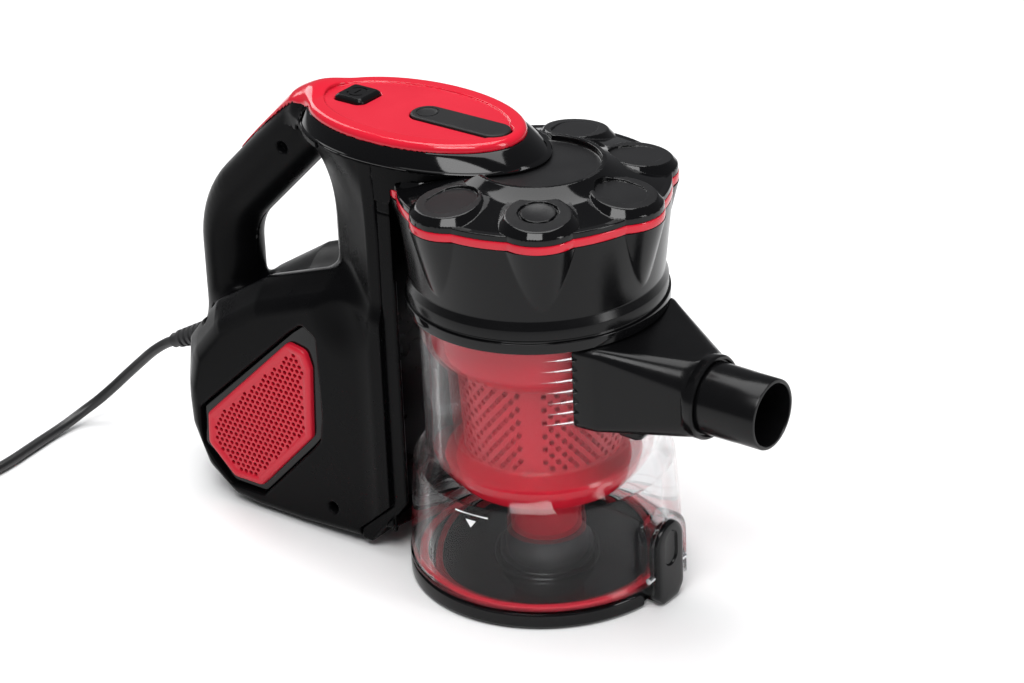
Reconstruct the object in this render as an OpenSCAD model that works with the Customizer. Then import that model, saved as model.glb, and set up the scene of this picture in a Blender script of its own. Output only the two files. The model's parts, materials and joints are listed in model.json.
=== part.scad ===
// Corded handheld cyclone vacuum cleaner with a clear dust cup.
// Millimetres. Z is up, +X points along the suction nozzle, and the model is symmetric about Y = 0.
// The origin is on the dust cup's axis at the underside of its lid, in the plane that the object stands on.

/* [Dust cup] */
// Outer radius of the lid and of the cup's bottom flange
lid_r = 65.9; // [65.6:0.1:66.2]
// Thickness of the lid
lid_h = 8; // [7:0.5:8.5]
// Height of the lid seal
seal_h = 1.5; // [1:0.1:2]
// Outer radius of the clear cup just under its shoulder
cup_r = 62.5; // [62:0.1:63.5]
// Height of the clear cup's shoulder
shoulder_z = 59.6; // [58:0.1:60]
// Outer radius of the clear cup's upper wall
neck_r = 56; // [55.8:0.1:56.4]
// Wall thickness of the clear cup
cup_wall = 2.2; // [1.8:0.1:2.4]
// Height of the top of the clear cup
cup_top = 147; // [146:0.1:147]

/* [Cyclone head] */
// Number of small cyclones around the head
petals = 7; // [7:1:7]
// Distance from the cup's axis to the middle of each cyclone's lobe
petal_pos = 49; // [48.5:0.1:49.2]
// Radius of each lobe at the trim ring
petal_r = 19.5; // [19:0.1:19.6]
// Radius of the head between the lobes at the trim ring
head_r = 63.5; // [63:0.1:64]
// Height of the red trim ring's lower face
trim_z = 194; // [193.5:0.1:194.5]
// Height of the red trim ring
trim_h = 4; // [3.5:0.1:4.2]

/* [Shroud] */
// Outer radius of the perforated shroud at its top
mesh_top_r = 39.5; // [38.5:0.1:40]
// Outer radius of the perforated shroud at its foot
mesh_foot_r = 37.5; // [37:0.1:38]
// Outer radius of the shroud's flange
flange_r = 47; // [46:0.1:48]
// Outer radius of the dust tube
dust_tube_r = 17; // [16.5:0.1:17.5]

/* [Nozzle] */
// Height of the nozzle's axis
nozzle_z = 115.4; // [115:0.1:116]
// Distance from the cup's axis to the nozzle's mouth
nozzle_end = 129; // [126:0.5:132]
// Outer radius of the nozzle at its mouth, the size that tools push on to
nozzle_r = 16.7; // [16.4:0.1:17]
// Length of the straight spigot at the mouth
spigot_len = 14; // [12:0.5:16]
// Bore radius of the nozzle
nozzle_bore_r = 14.6; // [14:0.1:14.8]

/* [Body] */
// Half-width of the front frame and of the column behind it
frame_y = 38.5; // [38:0.1:38.8]
// Half-width of the motor bulge
bulge_y = 40; // [39.5:0.1:41]
// Radius of the handle's round section
grip_r = 15.5; // [15:0.1:16]
// Distance from the cup's axis back to the middle of the grip
grip_x = 188; // [187:0.5:189]
// Radius of the grip's upper bend
bend_r = 45; // [44:0.5:46]
// Thickness of the moulded walls
wall = 2.5; // [2.2:0.1:2.8]

/* [Motor] */
// Height of the motor's axis
motor_z = 52; // [51:0.5:53]
// Outer radius of the fan shroud
fan_r = 33; // [32:0.5:34]
// Radius of the armature's core
armature_r = 16; // [15.5:0.1:16.2]
// Radius of the motor's shaft
shaft_r = 3; // [2.9:0.1:3.1]

/* [Power cord] */
// Diameter of the cord
cord_d = 5.5; // [5.4:0.1:5.6]
// Inner radius of the wound coil
coil_in = 20.6; // [20:0.1:21]
// Number of turns side by side in a layer
coil_turns = 4; // [4:1:4]
// Number of layers
coil_layers = 6; // [6:1:6]

/* [Hidden] */
$fn = 96;
tiny = 0.01;
cup_z = lid_h + seal_h;
petal_step = 360 / petals;
trim_top = trim_z + trim_h;
run_gap = 0.05;
// the head: the egg-shaped outlines share one middle
head_x = -67.5;
lip_z = 209;
band_z = 210;
cover_z = 216.5;
cover_top = 220.5;
key_x = -102;
// the recess in the cyclone cover that the head's nose sits over
dish_x = 3;
dish_r = 29;
dish_z = 208;
// the cradle that the cup stands in
cradle_r = 70;
// the lid's hinge and latch
hinge_x = -68.5;
hinge_z = 5;
latch_x = 69.6;
latch_z = 17;
latch_half = 11;
latch_top = 31.5;
pin_r = 1.5;
// the motor's stations along its axis
fan_x = -98;
armature_x = -128;
armature_len = 24;
motor_tail = -184;
// the slanted upper stretch of the handle leaves the bend at 45 degrees
bend_z = 125;
slant = 45;
slant_len = 66;
// the release lever
lever_x = -38;
lever_z = 214.2;
spring_x = -73.8;
// the exhaust opening in a side wall, as points in X and Z
vent = [[-123, 101], [-112, 99], [-109, 90], [-111, 52], [-146, 15], [-164, 15], [-180, 30], [-179, 47]];
recess = [[-122, 106], [-113, 113], [-105, 108], [-104, 66], [-106, 52], [-111, 46], [-145, 10.5], [-167, 10.5],
          [-184.5, 28], [-183.5, 49]];
// the motor bulge's outline, as points in X and Z
bulge_outline = [[-66, 142], [-100, 141], [-147, 124], [-180, 103], [-200, 78], [-203, 50], [-200, 32],
                 [-188, 12], [-168, 1], [-150, 0], [-121, 0], [-84, 3.3], [-84, 10], [-66, 26]];
bulge_core = [[-66, 130], [-100, 129], [-143, 113], [-168, 96], [-184, 77], [-189, 58], [-189, 38],
              [-181, 17], [-165, 4.5], [-150, 2.5], [-121, 2.5], [-84, 4.5], [-70, 24]];
// screws, as places in X and Z with the depth of each head
screws = [[-139, 190.5, 11], [-188, 92, 11], [-100, 17, 33]];
// the cord's free stretch, from its strain relief to the coil
gland_start = [-203, 0, 71];
gland_end = [-235, 0, 55.4];
coil_mid = [-338, -118];
plug_mid = [-350, -145.5];
route = [[-235, 0, 55.4], [-242, 0, 51.5], [-250, -1, 45.5], [-258, -2, 38], [-267, -4, 29], [-275, -7, 20.5],
         [-282, -12, 13], [-287.5, -19, 7.5], [-290, -28, 4.2], [-290.5, -38, 3], [-290, -48, 2.8],
         [-289, -60, 2.8], [-288, -72, 2.8], [-288, -84, 2.8], [-290, -94, 2.8], [-294.2, -104, 2.8]];
coil_out = coil_in + coil_turns * 5.62;
coil_top = coil_layers * 5.6;
plug_r = 8.5;
plug_z = coil_top + plug_r;

// ---------------------------------------------------------------- helpers

// a round bar along X from x0 to x1
module bar_x(x0, x1, r, z = 0, y = 0) {
    translate([x0, y, z]) rotate([0, 90, 0]) cylinder(r = r, h = x1 - x0);
}

// a round bar along Y between y0 and y1
module bar_y(y0, y1, r, x = 0, z = 0) {
    translate([x, y1, z]) rotate([90, 0, 0]) cylinder(r = r, h = y1 - y0);
}

// a round tube along X
module tube_x(x0, x1, r_out, r_in, z = 0) {
    difference() {
        bar_x(x0, x1, r_out, z);
        bar_x(x0 - 1, x1 + 1, r_in, z);
    }
}

// a ring around the cup's axis
module ring(z0, z1, r_out, r_in) {
    translate([0, 0, z0]) difference() {
        cylinder(r = r_out, h = z1 - z0);
        translate([0, 0, -1]) cylinder(r = r_in, h = z1 - z0 + 2);
    }
}

// a plate cut from an outline in X and Z, between y0 and y1
module side_plate(outline, y0, y1) {
    translate([0, y1, 0]) rotate([90, 0, 0]) linear_extrude(y1 - y0) polygon(outline);
}

// a box given by its two corners
module span(low, high) {
    translate(low) cube(high - low);
}

// the ring of n points of radius r round p, square to the direction d
function ring_at(p, d, r, n) =
    let (side = cross([0, 0, 1], d), across = norm(side) < 0.001 ? [0, 1, 0] : side / norm(side),
         top = cross(d, across))
    [for (k = [0 : n - 1]) let (a = 360 * (k + 0.5) / n) p + r * (cos(a) * across + sin(a) * top)];

// the direction of a path at its point k
function heading(path, k) =
    let (d = path[min(k + 1, len(path) - 1)] - path[max(k - 1, 0)])
    d / norm(d);

// a tube of radius r along a path
module sweep(path, r, n) {
    last = len(path) - 1;
    polyhedron(
        points = [for (k = [0 : last]) each ring_at(path[k], heading(path, k), r, n)],
        faces = concat(
            [[for (j = [0 : n - 1]) j]],
            [for (k = [0 : last - 1], j = [0 : n - 1])
                [k * n + j, (k + 1) * n + j, (k + 1) * n + (j + 1) % n, k * n + (j + 1) % n]],
            [[for (j = [n - 1 : -1 : 0]) last * n + j]]));
}

// repeats its children once for each lobe of the cyclone head
module each_petal() {
    for (k = [0 : petals - 1]) rotate([0, 0, k * petal_step]) children();
}

// the outline of the head: an ellipse whose front and rear halves differ in length
function egg(front, rear, half, n = 64) =
    [for (k = [0 : n - 1])
        let (t = 360 * k / n)
        [head_x + (cos(t) > 0 ? front : rear) * cos(t), half * sin(t)]];

module egg_disc(z, h, front, rear, half) {
    translate([0, 0, z]) linear_extrude(h) polygon(egg(front, rear, half));
}

// the outline of the cyclone head at the trim ring, grown by g
module head_outline(g = 0) {
    circle(r = head_r + g);
    each_petal() translate([petal_pos, 0]) circle(r = petal_r + g);
}

// ---------------------------------------------------------------- main body

// the column's section: a flat front, slanting sides and a round rear, drawn in by g
module column_section(g = 0) {
    polygon(concat(
        [[-63, frame_y - g], [-70, frame_y - g]],
        [for (a = [128 : 13 : 232]) [(22 - g) * cos(a) - 91, (22 - g) * sin(a)]],
        [[-70, g - frame_y], [-63, g - frame_y]]));
}

// an outline shrunk towards the middle of the bulge by about g
function drawn_in(outline, g) =
    [for (p = outline) let (d = [p[0] + 120, p[1] - 60]) p - g * [d[0] / 75, d[1] / 55]];

// the motor bulge, drawn in by about g on every side
module bulge(g = 0) {
    hull() {
        side_plate(drawn_in(bulge_outline, g), g - 26, 26 - g);
        side_plate(drawn_in(bulge_core, g), g - bulge_y, bulge_y - g);
    }
}

// the handle's middle line: an upright, a bend and a slanted stretch up to the head
grip_line = concat(
    [[-grip_x, 0, 58]],
    [for (a = [0 : 5 : slant]) [bend_r * (1 - cos(a)) - grip_x, 0, bend_z + bend_r * sin(a)]],
    [[bend_r * (1 - cos(slant)) - grip_x + slant_len * sin(slant), 0,
      bend_z + bend_r * sin(slant) + slant_len * cos(slant)]]);

module handle(r) {
    sweep(grip_line, r, 28);
}

// the neck that widens from the column to the head
module neck(g = 0) {
    hull() {
        translate([0, 0, 186]) linear_extrude(1) column_section(g);
        intersection() {
            egg_disc(lip_z - 1 + g, 1, 73 - g, 62 - g, 40 - g);
            span([-140, -45, 200], [-63, 45, lip_z + 3]);
        }
    }
}

module body_form(g = 0) {
    translate([0, 0, 12]) linear_extrude(180) column_section(g);
    bulge(g);
    neck(g);
    handle(grip_r - g);
}

// one half of the clamshell; side is -1 for the right half and 1 for the left
module housing(side) {
    difference() {
        intersection() {
            difference() {
                body_form();
                body_form(wall);
                // the cavity is open towards the front frame and under the head
                span([-76, -frame_y + wall, 30], [-60, frame_y - wall, lip_z + 1]);
                span([-122, -20, lip_z - 9], [-70, 20, lip_z + 1]);
            }
            span([-240, min(0, 60 * side), -5], [-63, max(0, 60 * side), lip_z]);
        }
        // room for the front frame's foot and cradle
        side_plate([[-40, -10], [-84, -10], [-84, 10.1], [-63.2, 28.8], [-40, 28.8]], -60, 60);
        span([-66.5, -37.1, 13.9], [-60, 37.1, 207.1]);
        side_plate(recess, side > 0 ? 30 : -60, side > 0 ? 60 : -30);
        for (s = screws)
            bar_y(side > 0 ? s[2] : -60, side > 0 ? s[2] + 2 : -s[2], side > 0 ? 1 : 3, s[0], s[1]);
        // the strain relief's hole
        translate(gland_start) rotate([0, -116, 0]) {
            translate([0, 0, -12]) cylinder(r = 4.6, h = 24);
            translate([0, 0, 0.4]) cylinder(r = 6.2, h = 12);
        }
    }
}

module housing_right() {
    color([0.03, 0.03, 0.035]) housing(-1);
}

module housing_left() {
    color([0.03, 0.03, 0.035]) housing(1);
}

// the plate that faces the cup: two side flanges, a curved cradle and a sloping foot
module front_frame() {
    side = [[-54.8, 32], [-78, 4], [-83.8, 4], [-83.8, 10], [-63, 28.5], [-63, 207], [-54.8, 207]];
    color([0.04, 0.04, 0.045]) difference() {
        union() {
            for (s = [-1, 1]) side_plate(side, s > 0 ? 36 : -frame_y, s > 0 ? frame_y : -36);
            intersection() {
                ring(14, 207, cradle_r + 5, cradle_r + 2.6);
                span([-80, -37, 14], [-54.8, 37, 207]);
            }
            difference() {
                side_plate([for (k = [0 : 4]) side[k]], -36.5, 36.5);
                cylinder(r = cradle_r + 0.4, h = 60);
            }
        }
        // the window behind the intake grille
        span([-80, -27, 40], [-60, 27, 186]);
        // clearance for the lobes of the cyclone head
        translate([0, 0, 150]) linear_extrude(60) head_outline(0.6);
    }
}

// the curved, slotted panel in front of the intake filter
module intake_grille() {
    color([0.35, 0.02, 0.05]) difference() {
        intersection() {
            ring(33, 193, cradle_r + 2.4, cradle_r + 0.4);
            span([-80, -33, 33], [-50, 33, 193]);
        }
        for (z = [40 : 8 : 154], y = [-20 : 8 : 20])
            span([-80, y - 2, z], [-60, y + 2, z + 5]);
        span([-80, -11.5, 168.5], [-60, 11.5, 187.5]);
    }
}

module intake_filter() {
    color([0.85, 0.85, 0.82]) span([-88, -22, 44], [-76.2, 22, 182]);
}

// the rubber duct that joins the cyclone head's outlet to the cradle
module outlet_gasket() {
    color([0.08, 0.08, 0.08]) difference() {
        span([-74.6, -11, 169], [-60, 11, 186]);
        span([-80, -8, 172], [-50, 8, 184]);
        translate([0, 0, 150]) cylinder(r = 63.4, h = 50);
    }
}

// the dark band under the red cover, with the floor of the nose that overhangs the cup
module head_band() {
    color([0.05, 0.05, 0.055]) difference() {
        union() {
            egg_disc(lip_z, 1, 72.5, 62, 41);
            hull() {
                egg_disc(band_z, 0.1, 69, 61.5, 39.5);
                egg_disc(cover_z - 0.1, 0.1, 59.6, 58.8, 35.6);
            }
        }
        hull() {
            egg_disc(lip_z + 2, 0.1, 65.5, 58.5, 36.5);
            egg_disc(cover_z + 0.1, 0.1, 57, 56.4, 33);
        }
        // the floor is open behind the nose and under the lever
        span([-122, -24, lip_z - 1], [-55, 24, cover_z]);
        span([-60, -5.5, lip_z - 1], [-41.5, 5.5, cover_z]);
        span([-25.5, -5.5, lip_z - 1], [-18, 5.5, cover_z]);
    }
}

// the red cover with its raised rim, and the stripe that runs down the handle
module top_cover() {
    color([0.85, 0.03, 0.09]) {
        difference() {
            hull() {
                egg_disc(cover_z, 1.5, 59, 58.5, 35);
                egg_disc(cover_top - 0.1, 0.2, 54, 53.5, 30);
            }
            hull() {
                egg_disc(cover_z - 0.1, 0.1, 56.5, 56, 32.5);
                egg_disc(cover_top - 2.5, 0.1, 51.5, 51, 27.5);
            }
            egg_disc(cover_top - 0.4, 3, 51, 50.5, 27);
            pill_hole(0.4);
            key_hole(0.4);
        }
        difference() {
            intersection() {
                handle(grip_r + 1.4);
                side_plate([[-176, 176], [-130, 224], [-122, 216], [-122, 200]], -7, 7);
            }
            handle(grip_r + 0.2);
            neck(-0.2);
            egg_disc(lip_z - 20, 40, 72.7, 62.2, 41.2);
        }
    }
}

// the opening for the long release button, grown by g
module pill_hole(g) {
    translate([0, 0, cover_z - 2]) linear_extrude(10) hull() {
        translate([-60.4, 0]) circle(r = 8 + g, $fn = 48);
        translate([-22, 0]) circle(r = 8 + g, $fn = 48);
    }
}

// the opening for the power button, grown by g
module key_hole(g) {
    translate([0, 0, cover_z - 2]) linear_extrude(10) hull() {
        for (x = [key_x - 5.3, key_x + 5.3], y = [-5.5, 5.5]) translate([x, y]) circle(r = 3 + g, $fn = 32);
    }
}

module vent_bezel(side) {
    y0 = bulge_y - 5;
    color([0.02, 0.02, 0.02]) mirror([0, side > 0 ? 0 : 1, 0]) difference() {
        side_plate([for (p = recess) [p[0] + (p[0] < -140 ? 0.4 : -0.4), p[1] + (p[1] < 60 ? 0.4 : -0.4)]],
                   y0, y0 + 2.2);
        side_plate(vent, y0 - 1, y0 + 6);
    }
}

module vent_bezel_right() {
    vent_bezel(-1);
}

module vent_bezel_left() {
    vent_bezel(1);
}

module exhaust_grille(side) {
    y0 = bulge_y - 5;
    edge = [for (p = vent) [p[0] + (p[0] < -140 ? 0.3 : -0.3), p[1] + (p[1] < 60 ? 0.3 : -0.3)]];
    color([0.8, 0.03, 0.09]) mirror([0, side > 0 ? 0 : 1, 0]) difference() {
        side_plate(edge, y0, bulge_y);
        for (k = [0 : 6], j = [0 : 5]) {
            x = -172 + 9 * k;
            z = 24 + 9 * j + 4.5 * (k % 2);
            if (z < 38 + 0.95 * (x + 180) && z > 26 - 0.8 * (x + 172) && z > 22 + 0.95 * (x + 146))
                bar_y(y0 - 1, bulge_y + 1, 2, x, z);
        }
    }
}

module exhaust_grille_right() {
    exhaust_grille(-1);
}

module exhaust_grille_left() {
    exhaust_grille(1);
}

module exhaust_filter(side) {
    color([0.75, 0.75, 0.72]) mirror([0, side > 0 ? 0 : 1, 0])
        side_plate([[-121, 92], [-114, 92], [-115, 56], [-146, 24], [-162, 24], [-172, 34], [-172, 46]],
                   bulge_y - 6.4, bulge_y - 5.2);
}

module exhaust_filter_right() {
    exhaust_filter(-1);
}

module exhaust_filter_left() {
    exhaust_filter(1);
}

// ---------------------------------------------------------------- motor

module fan_shroud() {
    color([0.7, 0.7, 0.72]) difference() {
        bar_x(-118, fan_x, fan_r, motor_z);
        bar_x(-119, fan_x - 1.5, fan_r - 1.2, motor_z);
        bar_x(-119, fan_x + 1, 11, motor_z);
    }
}

module motor_front_mount() {
    color([0.1, 0.1, 0.1]) difference() {
        tube_x(-114, -104, fan_r + 1.9, fan_r, motor_z);
        for (a = [0 : 30 : 330]) translate([0, 0, motor_z]) rotate([a, 0, 0]) bar_x(-115, -103, 1, fan_r + 1.9);
    }
}

// the plate behind the fan, which holds the front bearing on three legs of the stator
module motor_front_bracket() {
    color([0.75, 0.75, 0.77]) difference() {
        union() {
            bar_x(-118, -116, fan_r - 1.2, motor_z);
            bar_x(-124, -118, 8, motor_z);
            for (a = [45 : 90 : 315]) translate([0, 0, motor_z]) rotate([a, 0, 0])
                bar_x(armature_x, -118, 2.5, 24);
        }
        bar_x(-125, -117.5, 6.5, motor_z);
        bar_x(-125, -115, 5, motor_z);
        for (a = [0 : 30 : 330]) translate([0, 0, motor_z]) rotate([a, 0, 0]) bar_x(-119, -115, 2.6, 20);
    }
}

module motor_rear_bracket() {
    rear = armature_x - armature_len;
    color([0.75, 0.75, 0.77]) difference() {
        union() {
            bar_x(motor_tail + 1, motor_tail + 9, 9, motor_z);
            for (a = [45 : 90 : 315]) translate([0, 0, motor_z]) rotate([a, 0, 0]) {
                span([motor_tail + 3, -3, 7], [motor_tail + 6, 3, 27]);
                span([motor_tail + 3, -3, 22], [rear, 3, 27]);
            }
        }
        bar_x(motor_tail + 2.5, motor_tail + 10, 6.5, motor_z);
    }
}

module motor_rear_mount() {
    color([0.1, 0.1, 0.1]) difference() {
        bar_x(motor_tail - 3, motor_tail + 6, 11.5, motor_z);
        bar_x(motor_tail + 1, motor_tail + 7, 9, motor_z);
        translate([0, 0, motor_z]) for (a = [45 : 90 : 315]) rotate([a, 0, 0])
            span([motor_tail + 2.8, -3.2, 6], [motor_tail + 7, 3.2, 20]);
    }
}

// the laminated core: a ring with two flats, and two poles
module stator_core() {
    color([0.5, 0.5, 0.52]) difference() {
        intersection() {
            bar_x(armature_x - armature_len, armature_x, 29, motor_z);
            span([-160, -26, 20], [-120, 26, 90]);
        }
        bar_x(-160, -120, armature_r + 0.7, motor_z);
        for (s = [-1, 1]) translate([0, 0, motor_z]) rotate([s * 90, 0, 0])
            span([-160, -11, 19], [-120, 11, 22.5]);
    }
}

// two wound coils whose heads stand out of the core's ends
module field_windings() {
    color([0.75, 0.35, 0.12]) for (s = [-1, 1]) translate([0, 0, motor_z]) rotate([s * 90, 0, 0])
        difference() {
            span([-157, -10.5, 19.2], [-123, 10.5, 22.3]);
            span([-153.5, -20, 19], [-126.5, -7.5, 23]);
            span([-153.5, 7.5, 19], [-126.5, 20, 23]);
        }
}

module bearing(x0) {
    color([0.8, 0.8, 0.83]) tube_x(x0, x0 + 5, 6.5, shaft_r + run_gap, motor_z);
}

module front_bearing() {
    bearing(-123.5);
}

module rear_bearing() {
    bearing(motor_tail + 3);
}

module brush_holders() {
    color([0.7, 0.55, 0.2]) for (s = [-1, 1]) translate([0, 0, motor_z]) rotate([s * 90, 0, 0]) difference() {
        span([-171, -4, 13], [-162, 4, 27]);
        span([-169.4, -2.4, 12], [-163.6, 2.4, 28]);
    }
}

module carbon_brushes() {
    color([0.15, 0.15, 0.16]) for (s = [-1, 1]) translate([0, 0, motor_z]) rotate([s * 90, 0, 0])
        span([-169.2, -2.2, 11.4], [-163.8, 2.2, 22]);
}

module armature_shaft() {
    color([0.75, 0.75, 0.78]) bar_x(motor_tail + 2.8, -102, shaft_r, motor_z);
}

module armature_core() {
    color([0.45, 0.45, 0.47]) difference() {
        bar_x(armature_x - armature_len, armature_x, armature_r, motor_z);
        bar_x(-160, -120, shaft_r, motor_z);
        for (a = [0 : 30 : 330]) translate([0, 0, motor_z]) rotate([a, 0, 0])
            span([-160, -1, armature_r - 5], [-120, 1, armature_r + 1]);
    }
}

module commutator() {
    color([0.8, 0.45, 0.2]) tube_x(-172, -160, 11, shaft_r, motor_z);
}

// a shrouded fan wheel with nine curved blades between two discs
module impeller() {
    tip = fan_r - 2.4;
    color([0.8, 0.8, 0.82]) difference() {
        union() {
            bar_x(-113.5, -112.3, tip, motor_z);
            tube_x(-103, -101.8, tip, 12, motor_z);
            bar_x(-113.5, -104, 6, motor_z);
            intersection() {
                tube_x(-112.5, -102.5, tip, 8, motor_z);
                for (k = [0 : 8]) translate([0, 0, motor_z]) rotate([k * 40, 0, 0])
                    tube_x(-112.5, -102.5, 21, 20, 14);
            }
        }
        bar_x(-120, -100, shaft_r, motor_z);
        bar_x(-104, -101, 8, motor_z);
    }
}

// ---------------------------------------------------------------- controls

module power_switch() {
    color([0.12, 0.12, 0.13]) {
        span([key_x - 6, -7, 188], [key_x + 9, 7, 204]);
        bar_z(key_x, 0, 204, 207, 5);
        for (s = [-1, 1]) span([key_x - 3, 4 * s - 0.4, 182], [key_x + 3, 4 * s + 0.4, 188]);
    }
}

// an upright round bar
module bar_z(x, y, z0, z1, r) {
    translate([x, y, z0]) cylinder(r = r, h = z1 - z0);
}

module power_button() {
    color([0.06, 0.06, 0.065]) {
        intersection() {
            key_hole(0);
            span([-120, -20, cover_top - 3.2], [-80, 20, cover_top + 1.6]);
        }
        span([key_x - 4, -4, cover_top - 6], [key_x + 4, 4, cover_top - 3.2]);
        bar_z(key_x, 0, 209.4, cover_top - 6, 2);
    }
}

module spring_z(x, z0, z1, r) {
    color([0.7, 0.7, 0.72]) translate([x, 0, z0]) difference() {
        cylinder(r = r, h = z1 - z0);
        translate([0, 0, -1]) cylinder(r = r - 0.8, h = z1 - z0 + 2);
    }
}

module power_button_spring() {
    spring_z(key_x, 207, cover_top - 6, 4);
}

module release_button() {
    color([0.06, 0.06, 0.065]) {
        difference() {
            intersection() {
                pill_hole(0);
                span([-75, -10, cover_top - 1.8], [0, 10, cover_top + 0.4]);
            }
            translate([-60.4, 0, cover_top + 8.3]) sphere(r = 9);
            span([-34, -10, cover_top - 3], [0, 10, cover_top - 0.9]);
        }
        bar_z(-58, 0, lever_z + 1.6, cover_top - 1.8, 2);
        span([-68, -3, cover_top - 2.5], [-64, 3, cover_top - 1.7]);
        span([spring_x - 3, -3, cover_top - 4], [-64, 3, cover_top - 2.5]);
    }
}

module release_button_spring() {
    spring_z(spring_x, 207, cover_top - 4, 3);
}

// the rocking lever: its tail lies under the button and its nose reaches down to the cup
module release_lever() {
    color([0.85, 0.85, 0.85]) difference() {
        union() {
            span([-60, -3.5, lever_z - 1.2], [-19.5, 3.5, lever_z + 1.2]);
            span([-23, -3.5, lip_z - 0.4], [-19.5, 3.5, lever_z]);
            bar_y(-3.5, 3.5, 2.4, lever_x, lever_z);
        }
        bar_y(-5, 5, 1.2 + run_gap, lever_x, lever_z);
    }
}

module release_lever_pin() {
    color([0.7, 0.7, 0.72]) {
        bar_y(-6.5, 6.5, 1.2, lever_x, lever_z);
        for (s = [-1, 1])
            span([lever_x - 1.5, 5.2 * s - 1, lip_z + 2], [lever_x + 1.5, 5.2 * s + 1, lever_z + 1.5]);
    }
}

module housing_screws() {
    color([0.6, 0.6, 0.62]) for (s = screws) {
        bar_y(-s[2] + 0.2, s[2] - 0.2, 1, s[0], s[1]);
        bar_y(-s[2] + 0.2, -s[2] + 1.4, 2.6, s[0], s[1]);
    }
}

// ---------------------------------------------------------------- power cord

module cord_gland() {
    color([0.05, 0.05, 0.055]) translate(gland_start) rotate([0, -116, 0]) {
        translate([0, 0, -6]) cylinder(r = 4.5, h = 7);
        translate([0, 0, 0.5]) cylinder(r1 = 6, r2 = 4.4, h = norm(gland_end - gland_start) - 0.5);
        for (k = [0 : 5]) translate([0, 0, 5 + 5 * k]) cylinder(r = 6.3 - 0.2 * k, h = 2.6);
    }
}

module power_cord() {
    color([0.04, 0.04, 0.04]) sweep(route, cord_d / 2, 8);
}

// the outer shape of the wound cord
module cord_coil() {
    color([0.04, 0.04, 0.04]) translate([coil_mid[0], coil_mid[1], 0]) rotate_extrude()
        translate([coil_in, 0]) square([coil_out - coil_in, coil_top]);
}

// the plug lies across the top of the coil
module plug_body() {
    color([0.05, 0.05, 0.055]) translate([plug_mid[0], plug_mid[1], plug_z]) rotate([0, -90, 0]) {
        translate([0, 0, -10]) cylinder(r1 = 7, r2 = plug_r, h = 10);
        cylinder(r = plug_r, h = 22);
        translate([0, 0, -26]) cylinder(r1 = 3.4, r2 = 6, h = 16);
    }
}

module plug_pins() {
    color([0.8, 0.7, 0.4]) for (s = [-1, 1])
        bar_x(plug_mid[0] - 41, plug_mid[0] - 22, 2, plug_z, plug_mid[1] + s * 5);
}

// ---------------------------------------------------------------- dust cup

// the clear cup: a lower skirt, a sloping shoulder, an upper wall, the hinge and latch ears
module cup_shell() {
    outer = [[lid_r, cup_z], [lid_r, cup_z + 2.5], [65.2, cup_z + 3.5], [64.6, 30], [cup_r, shoulder_z],
             [neck_r + 1, shoulder_z + 6.5], [neck_r, shoulder_z + 9], [neck_r, cup_top]];
    inner = [for (k = [len(outer) - 1 : -1 : 0]) [outer[k][0] - cup_wall, outer[k][1]]];
    color([0.75, 0.78, 0.8, 0.35]) difference() {
        union() {
            rotate_extrude() polygon(concat(outer, inner));
            latch_ears();
            for (s = [-1, 1]) difference() {
                span([hinge_x - 2.5, s > 0 ? 6.2 : -10.2, 2.6], [-62.5, s > 0 ? 10.2 : -6.2, cup_z + 2.5]);
                cylinder(r = lid_r + 1.1, h = cup_z);
                translate([0, 0, cup_z]) cylinder(r = 64, h = 10);
            }
        }
        span([40, -27, 103], [70, 27, 139]);
        bar_y(-20, 20, pin_r, hinge_x, hinge_z);
        bar_y(-20, 20, pin_r, latch_x, latch_z);
    }
}

// the arch of clear plastic that frames the latch and carries its pin
module latch_ears() {
    difference() {
        intersection() {
            translate([60, 0, 0]) rotate([90, 0, 90]) linear_extrude(12) difference() {
                union() {
                    translate([0, latch_top]) circle(r = latch_half + 4);
                    translate([-latch_half - 4, cup_z]) square([2 * latch_half + 8, latch_top - cup_z]);
                }
                translate([0, latch_top]) circle(r = latch_half + 0.8);
                translate([-latch_half - 0.8, 0]) square([2 * latch_half + 1.6, latch_top]);
            }
            span([60, -20, cup_z], [71.4, 20, 50]);
        }
        translate([0, 0, -1]) cylinder(r = 63, h = 60);
    }
}

// the black collar bonded round the cup's mouth
module cup_collar() {
    color([0.03, 0.03, 0.03]) rotate_extrude()
        polygon([[neck_r, 141.8], [62, 141.8], [62, 147], [60.5, 147], [60.5, 148], [neck_r, 148]]);
}

// the flared head with its lobes, open below and above
module cyclone_head() {
    color([0.02, 0.02, 0.02]) difference() {
        union() {
            rotate_extrude()
                polygon([[54, 148], [61, 148], [61, 153.2], [59.6, 157.3], [head_r, trim_z], [54, trim_z]]);
            each_petal() translate([58.9, 0, 161.5]) rotate([0, -13.5, 0]) cylinder(r1 = 0, r2 = 25.4, h = 44);
        }
        translate([0, 0, trim_z]) cylinder(r = 90, h = 30);
        rotate_extrude() polygon([[0, 147], [57.2, 147], [57.2, 158], [60.6, 195], [0, 195]]);
        // the air outlet, facing the cradle
        span([-75, -8, 172], [-40, 8, 184]);
    }
}

module trim_ring() {
    color([0.85, 0.03, 0.09]) translate([0, 0, trim_z]) linear_extrude(trim_h) difference() {
        head_outline();
        circle(r = 58);
    }
}

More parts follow.
